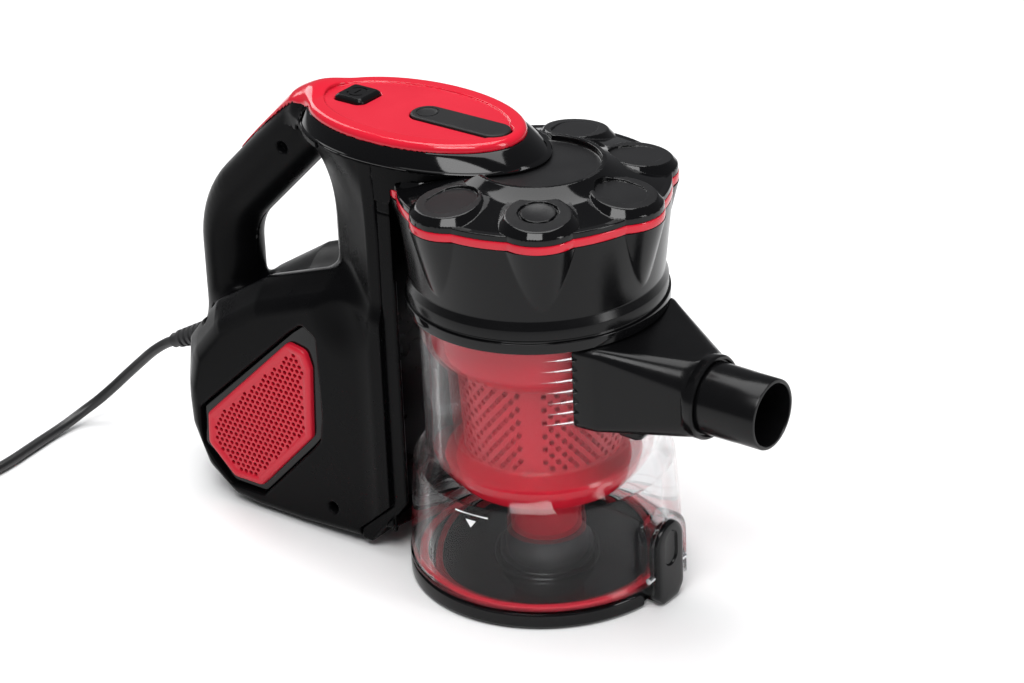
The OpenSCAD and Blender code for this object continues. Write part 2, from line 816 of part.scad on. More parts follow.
// the moulded cover with a raised lobe over each cyclone and a sunken dish in its middle
module cyclone_cover() {
    color([0.02, 0.02, 0.02]) difference() {
        union() {
            translate([0, 0, trim_top]) linear_extrude(3) head_outline(-0.2);
            translate([0, 0, trim_top + 2.5]) cylinder(r1 = 60.5, r2 = 36, h = 6.5);
            translate([dish_x, 0, trim_top + 4]) cylinder(r1 = 44, r2 = dish_r + 2.5, h = 8.5);
            each_petal() translate([petal_pos, 0, trim_top + 2])
                cylinder(r1 = petal_r - 0.6, r2 = petal_r - 3.8, h = 4);
        }
        // the dish, and room for the head's nose, neck and lever
        translate([dish_x, 0, dish_z]) cylinder(r = dish_r, h = 10);
        egg_disc(lip_z - 0.4, 10, 74.5, 90, 43);
        span([-90, -43, lip_z - 0.4], [-60, 43, 220]);
        span([-90, -42, trim_top - tiny], [-47, 42, 220]);
        span([-80, -6, lip_z - 3], [-16, 6, 220]);
        // the finger groove round each lobe
        each_petal() translate([petal_pos - 2, 0, trim_top + 5]) difference() {
            cylinder(r = 9, h = 5);
            translate([0, 0, -1]) cylinder(r = 7.6, h = 7);
            span([0, -12, -1], [12, 12, 7]);
        }
        // the plenum under the cover
        translate([0, 0, trim_top - 1]) cylinder(r1 = 56, r2 = 30, h = 5);
    }
}

// a plate with one outlet tube for each small cyclone
module vortex_finders() {
    color([0.1, 0.1, 0.1]) difference() {
        union() {
            translate([0, 0, 191]) cylinder(r = 57.8, h = 2.5);
            each_petal() bar_z(39, 0, 176, 191.5, 6);
        }
        each_petal() bar_z(39, 0, 170, 200, 4.8);
    }
}

module cone_gasket() {
    color([0.15, 0.15, 0.15]) difference() {
        ring(189.2, 191, 57.6, 24);
        each_petal() bar_z(39, 0, 180, 200, 13);
    }
}

// seven small cyclone cones hanging from one plate
module cyclone_cones() {
    color([0.12, 0.12, 0.12]) difference() {
        union() {
            translate([0, 0, 187]) cylinder(r = 57.4, h = 2.2);
            each_petal() translate([39, 0, 126]) cylinder(r1 = 5, r2 = 14.5, h = 61.2);
        }
        each_petal() translate([39, 0, 125.8]) cylinder(r1 = 3.6, r2 = 13.1, h = 63.5);
        bar_z(0, 0, 180, 200, 20);
    }
}

// the red shroud: a skirt under the collar, a perforated wall and a flange
module shroud() {
    color([0.85, 0.04, 0.12]) difference() {
        rotate_extrude() polygon([
            [53.4, 147], [52, 138], [50.8, 122], [48, 115], [mesh_top_r, 112], [mesh_foot_r, 66.5],
            [flange_r - 2, 64], [flange_r, 61], [flange_r - 1, 57], [42, 51], [40.5, 52], [44, 58],
            [44.5, 60.5], [36, 64.5], [mesh_foot_r - 1.8, 66.5], [mesh_top_r - 1.8, 114], [46.8, 117],
            [49, 123], [50.2, 138], [51.4, 147]]);
        for (a = [0 : 24 : 336], j = [0 : 6]) rotate([0, 0, a + 12 * (j % 2)])
            bar_x(30, 45, 1.6, 72 + 6 * j);
    }
}

// the funnel inside the shroud and the tube that drops fine dust on to the lid
module dust_tube() {
    color([0.8, 0.04, 0.12]) rotate_extrude() polygon([
        [dust_tube_r, 20], [dust_tube_r, 62], [34.5, 66.3], [36.8, 112], [35.6, 112],
        [33.2, 68], [dust_tube_r - 1.8, 63.5], [dust_tube_r - 1.8, 20]]);
}

// the funnel that leads from the nozzle into the cup's wall
module inlet_duct() {
    color([0.04, 0.04, 0.045]) difference() {
        hull() {
            span([46, -35, 99], [54, 35, 141.6]);
            for (s = [-1, 1]) bar_z(90, s * 10, 97.5, 133, 7);
            bar_x(88, 98, 18, nozzle_z);
        }
        translate([0, 0, 90]) cylinder(r = neck_r + 0.1, h = 60);
        hull() {
            span([46, -26, 103], [57, 26, 138]);
            bar_x(80, 90, 15.5, nozzle_z);
        }
        bar_x(80, 101, 17.2, nozzle_z);
    }
}

// the nozzle tube: a straight spigot with a stepped root that is bonded into the duct
module nozzle_tube() {
    root = nozzle_end - spigot_len;
    root_r = nozzle_r + 2.3;
    color([0.03, 0.03, 0.035]) difference() {
        union() {
            bar_x(91, 98, 17.2, nozzle_z);
            translate([98, 0, nozzle_z]) rotate([0, 90, 0]) cylinder(r1 = root_r, r2 = nozzle_r, h = root - 98);
            bar_x(root, nozzle_end, nozzle_r, nozzle_z);
        }
        bar_x(85, nozzle_end + 1, nozzle_bore_r, nozzle_z);
    }
}

module latch_pin() {
    color([0.7, 0.7, 0.72]) {
        bar_y(-latch_half - 4, latch_half + 4, pin_r, latch_x, latch_z);
        bar_y(-10.2, 10.2, pin_r, hinge_x, hinge_z);
    }
}

// the torsion spring on the latch's pin
module latch_spring() {
    color([0.7, 0.7, 0.72]) difference() {
        bar_y(-3.2, 3.2, 2, latch_x, latch_z);
        bar_y(-4, 4, pin_r, latch_x, latch_z);
    }
}

// ---------------------------------------------------------------- lid and latch

module bin_lid() {
    color([0.03, 0.03, 0.03]) difference() {
        union() {
            difference() {
                rotate_extrude() polygon([[0, 0], [lid_r - 1.2, 0], [lid_r, 1.2], [lid_r, lid_h],
                                          [57, lid_h], [56, 4], [0, 4]]);
                // room for the latch's foot
                span([lid_r - 4, -latch_half - 1, -1], [lid_r + 5, latch_half + 1, lid_h + 1]);
            }
            bar_y(-6, 6, 3.2, hinge_x, hinge_z);
            span([hinge_x, -6, 2], [-63, 6, lid_h]);
        }
        bar_y(-8, 8, pin_r + run_gap, hinge_x, hinge_z);
    }
}

module lid_seal() {
    color([0.8, 0.03, 0.09]) ring(lid_h, cup_z - tiny, 61.6, 57.5);
}

// the rubber bell on the lid that closes the foot of the dust tube
module fines_collector() {
    color([0.06, 0.06, 0.06]) rotate_extrude() polygon([
        [16, 4], [21, 4], [22.5, 9], [22, 12.5], [18.5, 16], [17, 19.6], [14.6, 19.6], [16, 14.5],
        [18.6, 11.5], [18.6, 9.5]]);
}

// the tongue that holds the lid: finger recess above its pin, hook below it
module bin_latch() {
    color([0.04, 0.04, 0.045]) difference() {
        union() {
            translate([67.4, 0, 0]) rotate([90, 0, 90]) linear_extrude(5) {
                translate([0, latch_top]) circle(r = latch_half);
                polygon([[-latch_half, latch_top], [-latch_half, 5], [-6, 0.6], [6, 0.6], [latch_half, 5],
                         [latch_half, latch_top]]);
            }
            span([62.6, -6, 0.6], [68, 6, 3]);
            bar_y(-latch_half, latch_half, 2.8, latch_x, latch_z);
        }
        bar_y(-20, 20, pin_r + run_gap, latch_x, latch_z);
        bar_y(-3.6, 3.6, 3.6, latch_x - 1.4, latch_z);
        // the finger recess
        translate([71.8, 0, 0]) rotate([90, 0, 90]) linear_extrude(2) hull() {
            translate([0, 25]) circle(r = 5, $fn = 48);
            translate([0, 33]) circle(r = 5, $fn = 48);
        }
    }
}

housing_right();
housing_left();
front_frame();
intake_grille();
intake_filter();
outlet_gasket();
head_band();
top_cover();
vent_bezel_right();
vent_bezel_left();
exhaust_grille_right();
exhaust_grille_left();
exhaust_filter_right();
exhaust_filter_left();
fan_shroud();
motor_front_mount();
motor_front_bracket();
motor_rear_bracket();
motor_rear_mount();
stator_core();
field_windings();
front_bearing();
rear_bearing();
brush_holders();
carbon_brushes();
armature_shaft();
armature_core();
commutator();
impeller();
power_switch();
power_button();
power_button_spring();
release_button();
release_button_spring();
release_lever();
release_lever_pin();
housing_screws();
cord_gland();
power_cord();
cord_coil();
plug_body();
plug_pins();
cup_shell();
cup_collar();
cyclone_head();
trim_ring();
cyclone_cover();
vortex_finders();
cone_gasket();
cyclone_cones();
shroud();
dust_tube();
inlet_duct();
nozzle_tube();
latch_pin();
latch_spring();
bin_lid();
lid_seal();
fines_collector();
bin_latch();
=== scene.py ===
import json
import math

import bmesh
import bpy
import numpy as np
from mathutils import Matrix, Vector


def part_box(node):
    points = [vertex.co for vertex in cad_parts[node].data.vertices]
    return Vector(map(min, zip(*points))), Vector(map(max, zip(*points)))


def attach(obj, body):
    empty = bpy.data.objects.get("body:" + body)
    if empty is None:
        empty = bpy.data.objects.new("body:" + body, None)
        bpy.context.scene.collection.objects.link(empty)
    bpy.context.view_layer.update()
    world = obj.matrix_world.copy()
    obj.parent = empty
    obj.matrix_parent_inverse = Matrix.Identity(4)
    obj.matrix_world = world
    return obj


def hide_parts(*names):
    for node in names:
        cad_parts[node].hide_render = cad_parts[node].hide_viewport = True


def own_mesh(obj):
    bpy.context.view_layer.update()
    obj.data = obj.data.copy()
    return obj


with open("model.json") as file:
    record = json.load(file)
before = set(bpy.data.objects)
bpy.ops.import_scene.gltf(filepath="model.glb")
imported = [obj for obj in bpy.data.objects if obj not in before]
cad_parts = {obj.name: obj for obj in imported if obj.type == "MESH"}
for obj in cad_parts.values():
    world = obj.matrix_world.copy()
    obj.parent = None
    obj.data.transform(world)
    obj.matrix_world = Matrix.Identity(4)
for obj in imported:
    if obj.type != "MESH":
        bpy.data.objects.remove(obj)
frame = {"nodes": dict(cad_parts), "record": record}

MM = 0.001
HEAD_X = -67.5              # middle of the head's egg-shaped outline
KEY_X = -102                # the power button
RELEASE_X = -60.4           # the release button's rear end, with its dimple
PETALS, PETAL_X = 7, 49     # lobes of the cyclone head, and how far out they lie
HEAD_POINTS = 840           # points round the cyclone head
HINGE, LATCH_PIN = (-68.5, 0, 5), (69.6, 0, 17)
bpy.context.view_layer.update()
nodes = frame["nodes"]
slot_of = {p["node"]: p["material_slot"] for p in frame["record"]["subparts"]}


# ------------------------------------------------------------------ camera, floor and light

def make_camera():
    """The photograph's viewpoint: turned and raised round a point on the cup, and rolled a little."""
    azimuth, elevation, roll = (math.radians(a) for a in (37.559, 26.558, -2.357))
    distance, aim_right, aim_up = 1.595949, -0.013052, 0.118263
    back = Vector((math.sin(azimuth) * math.cos(elevation), -math.cos(azimuth) * math.cos(elevation),
                   math.sin(elevation)))
    right = Vector((math.cos(azimuth), math.sin(azimuth), 0))
    up = back.cross(right)
    place = Vector((0, 0, aim_up)) + right * aim_right + back * distance
    across = right * math.cos(roll) + up * math.sin(roll)
    upright = up * math.cos(roll) - right * math.sin(roll)
    data = bpy.data.cameras.new("camera")
    data.sensor_width = 36
    data.lens = 119.84
    data.clip_start, data.clip_end = 0.05, 30
    camera = bpy.data.objects.new("camera", data)
    bpy.context.scene.collection.objects.link(camera)
    turn = Matrix((across, upright, back)).transposed()
    camera.matrix_world = Matrix.Translation(place) @ turn.to_4x4()
    bpy.context.scene.camera = camera


make_camera()


# ------------------------------------------------------------------ materials

def material(name, colour, rough, metal=0.0, specular=0.5, coat=0.0, grain=4000, relief=0.02, vary=0.12,
             rough_vary=0.06, wear=0.0, weave=False):
    """A moulded, cast or woven surface: uneven colour and gloss, fine grain, and paler worn edges."""
    made = bpy.data.materials.new(name)
    made.use_nodes = True
    tree = made.node_tree
    shader = tree.nodes["Principled BSDF"]
    shader.inputs["Metallic"].default_value = metal
    shader.inputs["Specular IOR Level"].default_value = specular
    shader.inputs["Coat Weight"].default_value = coat
    shader.inputs["Coat Roughness"].default_value = 0.05

    def node(kind, **values):
        made_node = tree.nodes.new(kind)
        for key, value in values.items():
            made_node.inputs[key].default_value = value
        return made_node

    place = node("ShaderNodeTexCoord").outputs["Object"]
    broad = node("ShaderNodeTexNoise", Scale=38.0, Detail=4.0, Roughness=0.6)
    fine = node("ShaderNodeTexNoise", Scale=float(grain), Detail=2.0, Roughness=0.5)
    tree.links.new(place, broad.inputs["Vector"])
    tree.links.new(place, fine.inputs["Vector"])
    tint = tree.nodes.new("ShaderNodeMix")
    tint.data_type = "RGBA"
    tint.inputs[6].default_value = (*[c * (1 - vary) for c in colour], 1)
    tint.inputs[7].default_value = (*[min(1, c * (1 + vary)) for c in colour], 1)
    tree.links.new(broad.outputs["Fac"], tint.inputs[0])
    last = tint.outputs[2]
    if wear:
        edge = node("ShaderNodeMapRange", **{"From Min": 0.53, "From Max": 0.62, "To Min": 0.0,
                                             "To Max": wear})
        tree.links.new(node("ShaderNodeNewGeometry").outputs["Pointiness"], edge.inputs["Value"])
        rub = tree.nodes.new("ShaderNodeMix")
        rub.data_type = "RGBA"
        rub.inputs[7].default_value = (*[min(1, c * 2.2 + 0.03) for c in colour], 1)
        tree.links.new(edge.outputs["Result"], rub.inputs[0])
        tree.links.new(last, rub.inputs[6])
        last = rub.outputs[2]
    tree.links.new(last, shader.inputs["Base Color"])
    gloss = node("ShaderNodeMapRange", **{"From Min": 0.3, "From Max": 0.7,
                                          "To Min": max(0.02, rough - rough_vary),
                                          "To Max": rough + rough_vary})
    tree.links.new(broad.outputs["Fac"], gloss.inputs["Value"])
    tree.links.new(gloss.outputs["Result"], shader.inputs["Roughness"])
    height = fine.outputs["Fac"]
    if weave:
        threads = node("ShaderNodeTexVoronoi", Scale=900.0)
        tree.links.new(place, threads.inputs["Vector"])
        height = threads.outputs["Distance"]
    bump = node("ShaderNodeBump", Strength=relief, Distance=0.0004)
    tree.links.new(height, bump.inputs["Height"])
    tree.links.new(bump.outputs["Normal"], shader.inputs["Normal"])
    return made


def clear_material(name, colour, bend, body):
    """See-through plastic under a glossy coat; bend is its IOR and body its alpha."""
    made = material(name, colour, 0.02, specular=0.5, relief=0.003, vary=0.01, rough_vary=0.01, grain=300)
    shader = made.node_tree.nodes["Principled BSDF"]
    shader.inputs["Transmission Weight"].default_value = 1.0
    shader.inputs["IOR"].default_value = bend
    shader.inputs["Alpha"].default_value = body
    shader.inputs["Coat Weight"].default_value = 0.45
    shader.inputs["Coat Roughness"].default_value = 0.03
    return made


# each finish: colour, roughness, and what differs from the usual settings
LOOKS = {
    "satin_black": ((0.0026, 0.0026, 0.0029), 0.30, dict(specular=0.05, grain=5200, relief=0.05, wear=0.05)),
    "semi_gloss_black": ((0.003, 0.003, 0.0033), 0.21, dict(specular=0.19, grain=4200, relief=0.03,
                                                            wear=0.05)),
    # the satin top: a real satin finish, with a colour lighter than the other blacks that is painted light
    # from above on upward faces
    "satin_top_painted_light": ((0.008, 0.008, 0.0085), 0.36, dict(specular=0.3, grain=5200, relief=0.05, wear=0.04)),
    "gloss_black": ((0.0022, 0.0022, 0.0025), 0.075, dict(specular=0.25, grain=300, relief=0.012,
                                                          rough_vary=0.025)),
    "matte_black": ((0.012, 0.012, 0.0125), 0.46, dict(specular=0.2, grain=6000, relief=0.12, wear=0.04)),
    "satin_red": ((0.52, 0.010, 0.027), 0.33, dict(specular=0.3, grain=5200, relief=0.04, vary=0.05,
                                                   wear=0.05)),
    "gloss_red": ((0.54, 0.009, 0.025), 0.12, dict(specular=0.38, grain=400, relief=0.012, vary=0.05,
                                                   rough_vary=0.03)),
    "dark_red": ((0.10, 0.004, 0.010), 0.42, dict(grain=4500, relief=0.06)),
    "red_rubber": ((0.62, 0.018, 0.040), 0.55, dict(grain=3000, relief=0.10)),
    "black_rubber": ((0.014, 0.014, 0.015), 0.48, dict(grain=3200, relief=0.10, wear=0.05)),
    "cord_rubber": ((0.012, 0.012, 0.0125), 0.38, dict(grain=2600, relief=0.08)),
    "filter_felt": ((0.78, 0.78, 0.74), 0.85, dict(relief=0.6, vary=0.08, weave=True)),
    "zinc_steel": ((0.60, 0.60, 0.62), 0.32, dict(metal=1.0, grain=2500, relief=0.05, wear=0.2)),
    "core_steel": ((0.34, 0.34, 0.36), 0.42, dict(metal=1.0, grain=1800, relief=0.12)),
    "bearing_steel": ((0.72, 0.72, 0.74), 0.16, dict(metal=1.0, grain=2500, relief=0.02)),
    "cast_aluminium": ((0.70, 0.71, 0.73), 0.38, dict(metal=1.0, grain=2200, relief=0.10)),
    "copper_wire": ((0.68, 0.30, 0.14), 0.28, dict(metal=1.0, grain=1500, relief=0.15)),
    "brass": ((0.74, 0.55, 0.26), 0.22, dict(metal=1.0, grain=2400, relief=0.03, wear=0.2)),
    "carbon": ((0.035, 0.035, 0.038), 0.60, dict(grain=5000, relief=0.15)),
    "white_nylon": ((0.74, 0.74, 0.71), 0.45, dict(grain=3600, relief=0.06)),
}
MATERIALS = {name: material(name, colour, rough, **more) for name, (colour, rough, more) in LOOKS.items()}
for name, colour, bend, body in (("clear_plastic", (0.93, 0.94, 0.95), 1.1, 0.55),
                                 ("clear_rib", (0.95, 0.95, 0.96), 1.46, 0.9)):
    MATERIALS[name] = clear_material(name, colour, bend, body)
FLOOR = material("floor", (0.86, 0.86, 0.86), 0.55, specular=0.2, grain=900, relief=0.01, vary=0.01)
MARK = material("mark_print", (0.85, 0.85, 0.85), 0.45, grain=3000, relief=0.03)


# ------------------------------------------------------------------ mesh helpers

def place(obj, body, finish, *stands_for):
    """Puts a piece on its body, with its finish, in place of CAD nodes."""
    if finish in MATERIALS and not obj.data.materials:
        obj.data.materials.append(MATERIALS[finish])
    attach(obj, body)
    if stands_for:
        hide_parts(*stands_for)
    return obj


def mesh_object(name, points, faces, smooth=True):
    """A mesh from points in millimetres."""
    mesh = bpy.data.meshes.new(name)
    mesh.from_pydata([tuple(c * MM for c in p) for p in points], [], faces)
    mesh.update()
    if smooth:
        mesh.polygons.foreach_set("use_smooth", [True] * len(mesh.polygons))
    obj = bpy.data.objects.new(name, mesh)
    bpy.context.scene.collection.objects.link(obj)
    return obj


def modify(obj, kind, **settings):
    """Adds a modifier and applies it."""
    step = obj.modifiers.new(kind.lower(), kind)
    for key, value in settings.items():
        setattr(step, key, value)
    graph = bpy.context.evaluated_depsgraph_get()
    mesh = bpy.data.meshes.new_from_object(obj.evaluated_get(graph))
    obj.modifiers.clear()
    old, obj.data = obj.data, mesh
    bpy.data.meshes.remove(old)
    return obj


def combine(obj, operation, tools):
    for tool in tools:
        modify(obj, "BOOLEAN", operation=operation, solver="EXACT", object=tool)
        bpy.data.objects.remove(tool)
    return obj


def cut(obj, *tools):
    return combine(obj, "DIFFERENCE", tools)


def join(obj, *parts):
    return combine(obj, "UNION", parts)


def weld(obj, reach, sliver=0):
    """Merges points closer than reach, and removes edges shorter than sliver."""
    work = bmesh.new()
    work.from_mesh(obj.data)
    bmesh.ops.remove_doubles(work, verts=work.verts, dist=reach)
    if sliver:
        bmesh.ops.dissolve_degenerate(work, edges=work.edges, dist=sliver)
    work.to_mesh(obj.data)
    work.free()
    return obj


def box_tool(low, high):
    corners = [(x, y, z) for x in (low[0], high[0]) for y in (low[1], high[1]) for z in (low[2], high[2])]
    faces = [(0, 1, 3, 2), (4, 6, 7, 5), (0, 4, 5, 1), (2, 3, 7, 6), (0, 2, 6, 4), (1, 5, 7, 3)]
    return mesh_object("tool", corners, faces, smooth=False)


def smooth_by_angle(obj, degrees=35):
    """Keeps creases sharper than this angle, and shades the rest smooth."""
    mesh = obj.data
    work = bmesh.new()
    work.from_mesh(mesh)
    bmesh.ops.recalc_face_normals(work, faces=work.faces)
    for face in work.faces:
        face.smooth = True
    for edge in work.edges:
        edge.smooth = len(edge.link_faces) == 2 and edge.calc_face_angle(math.pi) < math.radians(degrees)
    work.to_mesh(mesh)
    work.free()
    return obj


def filleted(points, radius, closed=True, steps=4):
    """A polyline whose corners are rounded; radius is one number, or one for each corner."""
    count = len(points)
    radii = [radius] * count if isinstance(radius, (int, float)) else radius
    result = []
    for i, p in enumerate(points):
        if not closed and i in (0, count - 1) or radii[i] <= 0:
            result.append(tuple(p))
            continue
        here = Vector(p)
        to_last, to_next = Vector(points[i - 1]) - here, Vector(points[(i + 1) % count]) - here
        angle = to_last.angle(to_next)
        reach = min(radii[i] / math.tan(angle / 2), 0.45 * to_last.length, 0.45 * to_next.length)
        start, end = here + to_last.normalized() * reach, here + to_next.normalized() * reach
        for k in range(steps + 1):
            t = k / steps
            result.append(tuple(start * (1 - t) ** 2 + here * 2 * t * (1 - t) + end * t * t))
    return result


def revolve(name, profile, axis="z", centre=(0, 0, 0), count=160, closed=True, shade=50):
    """Turns an outline of (radius, height) points about an axis; a closed outline gives a closed ring."""
    points, faces = [], []
    for k in range(count):
        turn = 2 * math.pi * k / count
        for radius, height in profile:
            x, y = radius * math.cos(turn), radius * math.sin(turn)
            local = {"x": (height, x, y), "y": (y, height, x), "z": (x, y, height)}[axis]
            points.append(tuple(a + b for a, b in zip(local, centre)))
    size = len(profile)
    for k in range(count):
        for i in range(size if closed else size - 1):
            j = (i + 1) % size
            k2 = (k + 1) % count
            faces.append((k * size + i, k2 * size + i, k2 * size + j, k * size + j))
    return smooth_by_angle(weld(mesh_object(name, points, faces), 1e-6, 1e-7), shade)


def rod(radius, low, high, axis="z", centre=(0, 0, 0), count=32):
    """A solid round tool from low to high along its axis."""
    return revolve("tool", [(0, low), (radius, low), (radius, high), (0, high)], axis=axis, centre=centre,
                   closed=False, count=count)


# ------------------------------------------------------------------ fields: shapes as signed distances, in mm

def polygon_field(u, v, outline):
    """Signed distance to a closed outline in the plane of u and v, negative inside."""
    best = np.full(u.shape, 1e9)
    inside = np.zeros(u.shape, bool)
    for (ax, ay), (bx, by) in zip(outline, outline[1:] + outline[:1]):
        ex, ey = bx - ax, by - ay
        wx, wy = u - ax, v - ay
        t = np.clip((wx * ex + wy * ey) / (ex * ex + ey * ey), 0, 1)
        best = np.minimum(best, (wx - ex * t) ** 2 + (wy - ey * t) ** 2)
        crosses = (ay > v) != (by > v)
        if ey:
            inside ^= crosses & (u < ex * (v - ay) / ey + ax)
    return np.where(inside, -1, 1) * np.sqrt(best)


def soft_min(a, b, k):
    h = np.clip(0.5 + 0.5 * (b - a) / k, 0, 1)
    return b * (1 - h) + a * h - k * h * (1 - h)


def soft_max(a, b, k):
    return -soft_min(-a, -b, k)


def mixed(a, b, t):
    return a + (b - a) * t


def ramp(value, start, end):
    """0 at start, 1 at end, straight between."""
    return np.clip((value - start) / (end - start), 0, 1)


def eased(value, start, end):
    t = ramp(value, start, end)
    return t * t * (3 - 2 * t)


def line_field(p, path, radius):
    """Distance to a tube along a path."""
    best = np.full(len(p), 1e9)
    for a, b in zip(path, path[1:]):
        a, b = np.array(a, float), np.array(b, float)
        along = b - a
        w = p - a
        t = np.clip(w @ along / (along @ along), 0, 1)
        best = np.minimum(best, ((w - t[:, None] * along) ** 2).sum(1))
    return np.sqrt(best) - radius


def egg_field(x, y, front, rear, half, middle=HEAD_X):
    """Signed distance, nearly, to the head's egg-shaped outline."""
    long = np.where(x > middle, front, rear)
    u, v = (x - middle) / long, y / half
    size = np.sqrt(u * u + v * v) + 1e-9
    slope = np.sqrt((u / long) ** 2 + (v / half) ** 2) / size + 1e-9
    return (size - 1) / slope


def rounded_join(side, end, radius):
    """The solid inside both fields, with its edge rounded."""
    a, b = side + radius, end + radius
    return np.minimum(np.maximum(a, b), 0) + np.sqrt(np.maximum(a, 0) ** 2 + np.maximum(b, 0) ** 2) - radius


def grow(name, field, low, high, step, detail=2):
    """Meshes the surface where field is zero: surface nets on a grid, then every point moved on to it."""
    block = 4
    low = np.array(low, float)
    count = np.ceil((np.array(high) - low) / (step * block)).astype(int)
    axes = [low[i] + step * block * np.arange(count[i] + 1) for i in range(3)]
    coarse = field(np.stack(np.meshgrid(*axes, indexing="ij"), -1).reshape(-1, 3)).reshape(count + 1)
    pick = np.ix_(*[np.round(np.arange(n * block + 1) / block).astype(int) for n in count])
    values = coarse[pick].copy()
    near = (np.abs(coarse) < 6 * step)[pick]
    values[near] = field(low + step * np.argwhere(near))
    corners = [(i, j, k) for i in (0, 1) for j in (0, 1) for k in (0, 1)]
    shape = np.array(values.shape) - 1

    def at(corner):
        return values[tuple(slice(c, c + n) for c, n in zip(corner, shape))]

    filled = sum((at(c) < 0).astype(np.int8) for c in corners)
    cells = (filled > 0) & (filled < 8)
    where = np.argwhere(cells)
    ids = np.full(shape, -1)
    ids[cells] = np.arange(len(where))
    total, hits = np.zeros((len(where), 3)), np.zeros(len(where))
    for a in corners:
        for axis in range(3):
            if a[axis]:
                continue
            b = tuple(1 if i == axis else a[i] for i in range(3))
            va, vb = at(a)[cells], at(b)[cells]
            crossing = (va < 0) != (vb < 0)
            t = np.where(crossing, va / np.where(crossing, va - vb, 1), 0)
            spot = np.array(a, float) + t[:, None] * (np.array(b) - np.array(a))
            total += np.where(crossing[:, None], spot, 0)
            hits += crossing
    points = low + step * (where + total / hits[:, None])

    def slope_at(p, reach):
        return np.stack([(field(p + d) - field(p - d)) / (2 * reach) for d in np.eye(3) * reach], 1)

    for _ in range(detail):
        slope = slope_at(points, 0.05)
        steep = np.maximum((slope ** 2).sum(1), 0.2)
        move = -(field(points) / steep)[:, None] * slope
        far = np.sqrt((move ** 2).sum(1))
        points += move * np.minimum(1, 0.5 * step / np.maximum(far, 1e-9))[:, None]
    faces = []
    for axis in range(3):
        one, two = (axis + 1) % 3, (axis + 2) % 3
        start, end = [slice(1, -1)] * 3, [slice(1, -1)] * 3
        start[axis], end[axis] = slice(0, -1), slice(1, None)
        a, b = values[tuple(start)] < 0, values[tuple(end)] < 0
        for flag, order in ((a & ~b, 1), (~a & b, -1)):
            hit = np.argwhere(flag)
            hit[:, one] += 1
            hit[:, two] += 1
            ring = []
            for d1, d2 in ((0, 0), (-1, 0), (-1, -1), (0, -1)):
                cell = hit.copy()
                cell[:, one] += d1
                cell[:, two] += d2
                ring.append(ids[cell[:, 0], cell[:, 1], cell[:, 2]])
            faces.append(np.stack(ring[::order], 1))
    faces = np.concatenate(faces)
    mesh = bpy.data.meshes.new(name)
    mesh.vertices.add(len(points))
    mesh.vertices.foreach_set("co", (points * MM).astype(np.float32).ravel())
    mesh.loops.add(faces.size)
    mesh.loops.foreach_set("vertex_index", faces.ravel().astype(np.int32))
    mesh.polygons.add(len(faces))
    mesh.polygons.foreach_set("loop_start", np.arange(0, faces.size, 4, dtype=np.int32))
    mesh.polygons.foreach_set("use_smooth", np.ones(len(faces), bool))
    mesh.update(calc_edges=True)
    mesh.validate()
    normal = slope_at(points, 0.35 * step)
    normal /= np.maximum(np.sqrt((normal ** 2).sum(1)), 1e-9)[:, None]
    mesh.normals_split_custom_set_from_vertices(normal)
    obj = bpy.data.objects.new(name, mesh)
    bpy.context.scene.collection.objects.link(obj)
    return obj


def inset(outline, amount):
    """A convex outline, drawn in by amount on every edge."""
    result = []
    turn = sum(a[0] * b[1] - b[0] * a[1] for a, b in zip(outline, outline[1:] + outline[:1]))
    hand = 1 if turn > 0 else -1
    for i, here in enumerate(outline):
        into = Vector(here) - Vector(outline[i - 1])
        out = Vector(outline[(i + 1) % len(outline)]) - Vector(here)
        first = Vector((-into.y, into.x)).normalized() * hand
        second = Vector((-out.y, out.x)).normalized() * hand
        middle = (first + second).normalized()
        result.append(tuple(Vector(here) + middle * amount / max(0.3, middle.dot(first))))
    return result


def soft_polygon(u, v, outline, radius):
    """Signed distance to a convex outline with round corners."""
    return polygon_field(u, v, inset(outline, radius)) - radius


# ------------------------------------------------------------------ the power cord

# the route's points from the part, then the wound coil, its last turn and the climb into the plug
ROUTE = [(-0.212, 0, 0.0666), (-0.223, 0, 0.0612), (-0.235, 0, 0.0554), (-0.242, 0, 0.0515),
         (-0.250, -0.001, 0.0455), (-0.258, -0.002, 0.038), (-0.267, -0.004, 0.029), (-0.275, -0.007, 0.0205),
         (-0.282, -0.012, 0.013), (-0.2875, -0.019, 0.0075), (-0.290, -0.028, 0.0042),
         (-0.2905, -0.038, 0.003), (-0.290, -0.048, 0.0028), (-0.289, -0.060, 0.0028),
         (-0.288, -0.072, 0.0028), (-0.288, -0.084, 0.0028), (-0.290, -0.094, 0.0028),
         (-0.2942, -0.104, 0.0028)]
CORD_D = 0.0055
COIL_MID = (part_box("cord_coil")[0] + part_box("cord_coil")[1]) / 2
COIL_IN, COIL_PITCH, COIL_RISE = 0.0206, 0.00562, 0.0056
COIL_TURNS, COIL_LAYERS = 4, 6
COIL_START = math.radians(-6)
ARC_R = 0.026


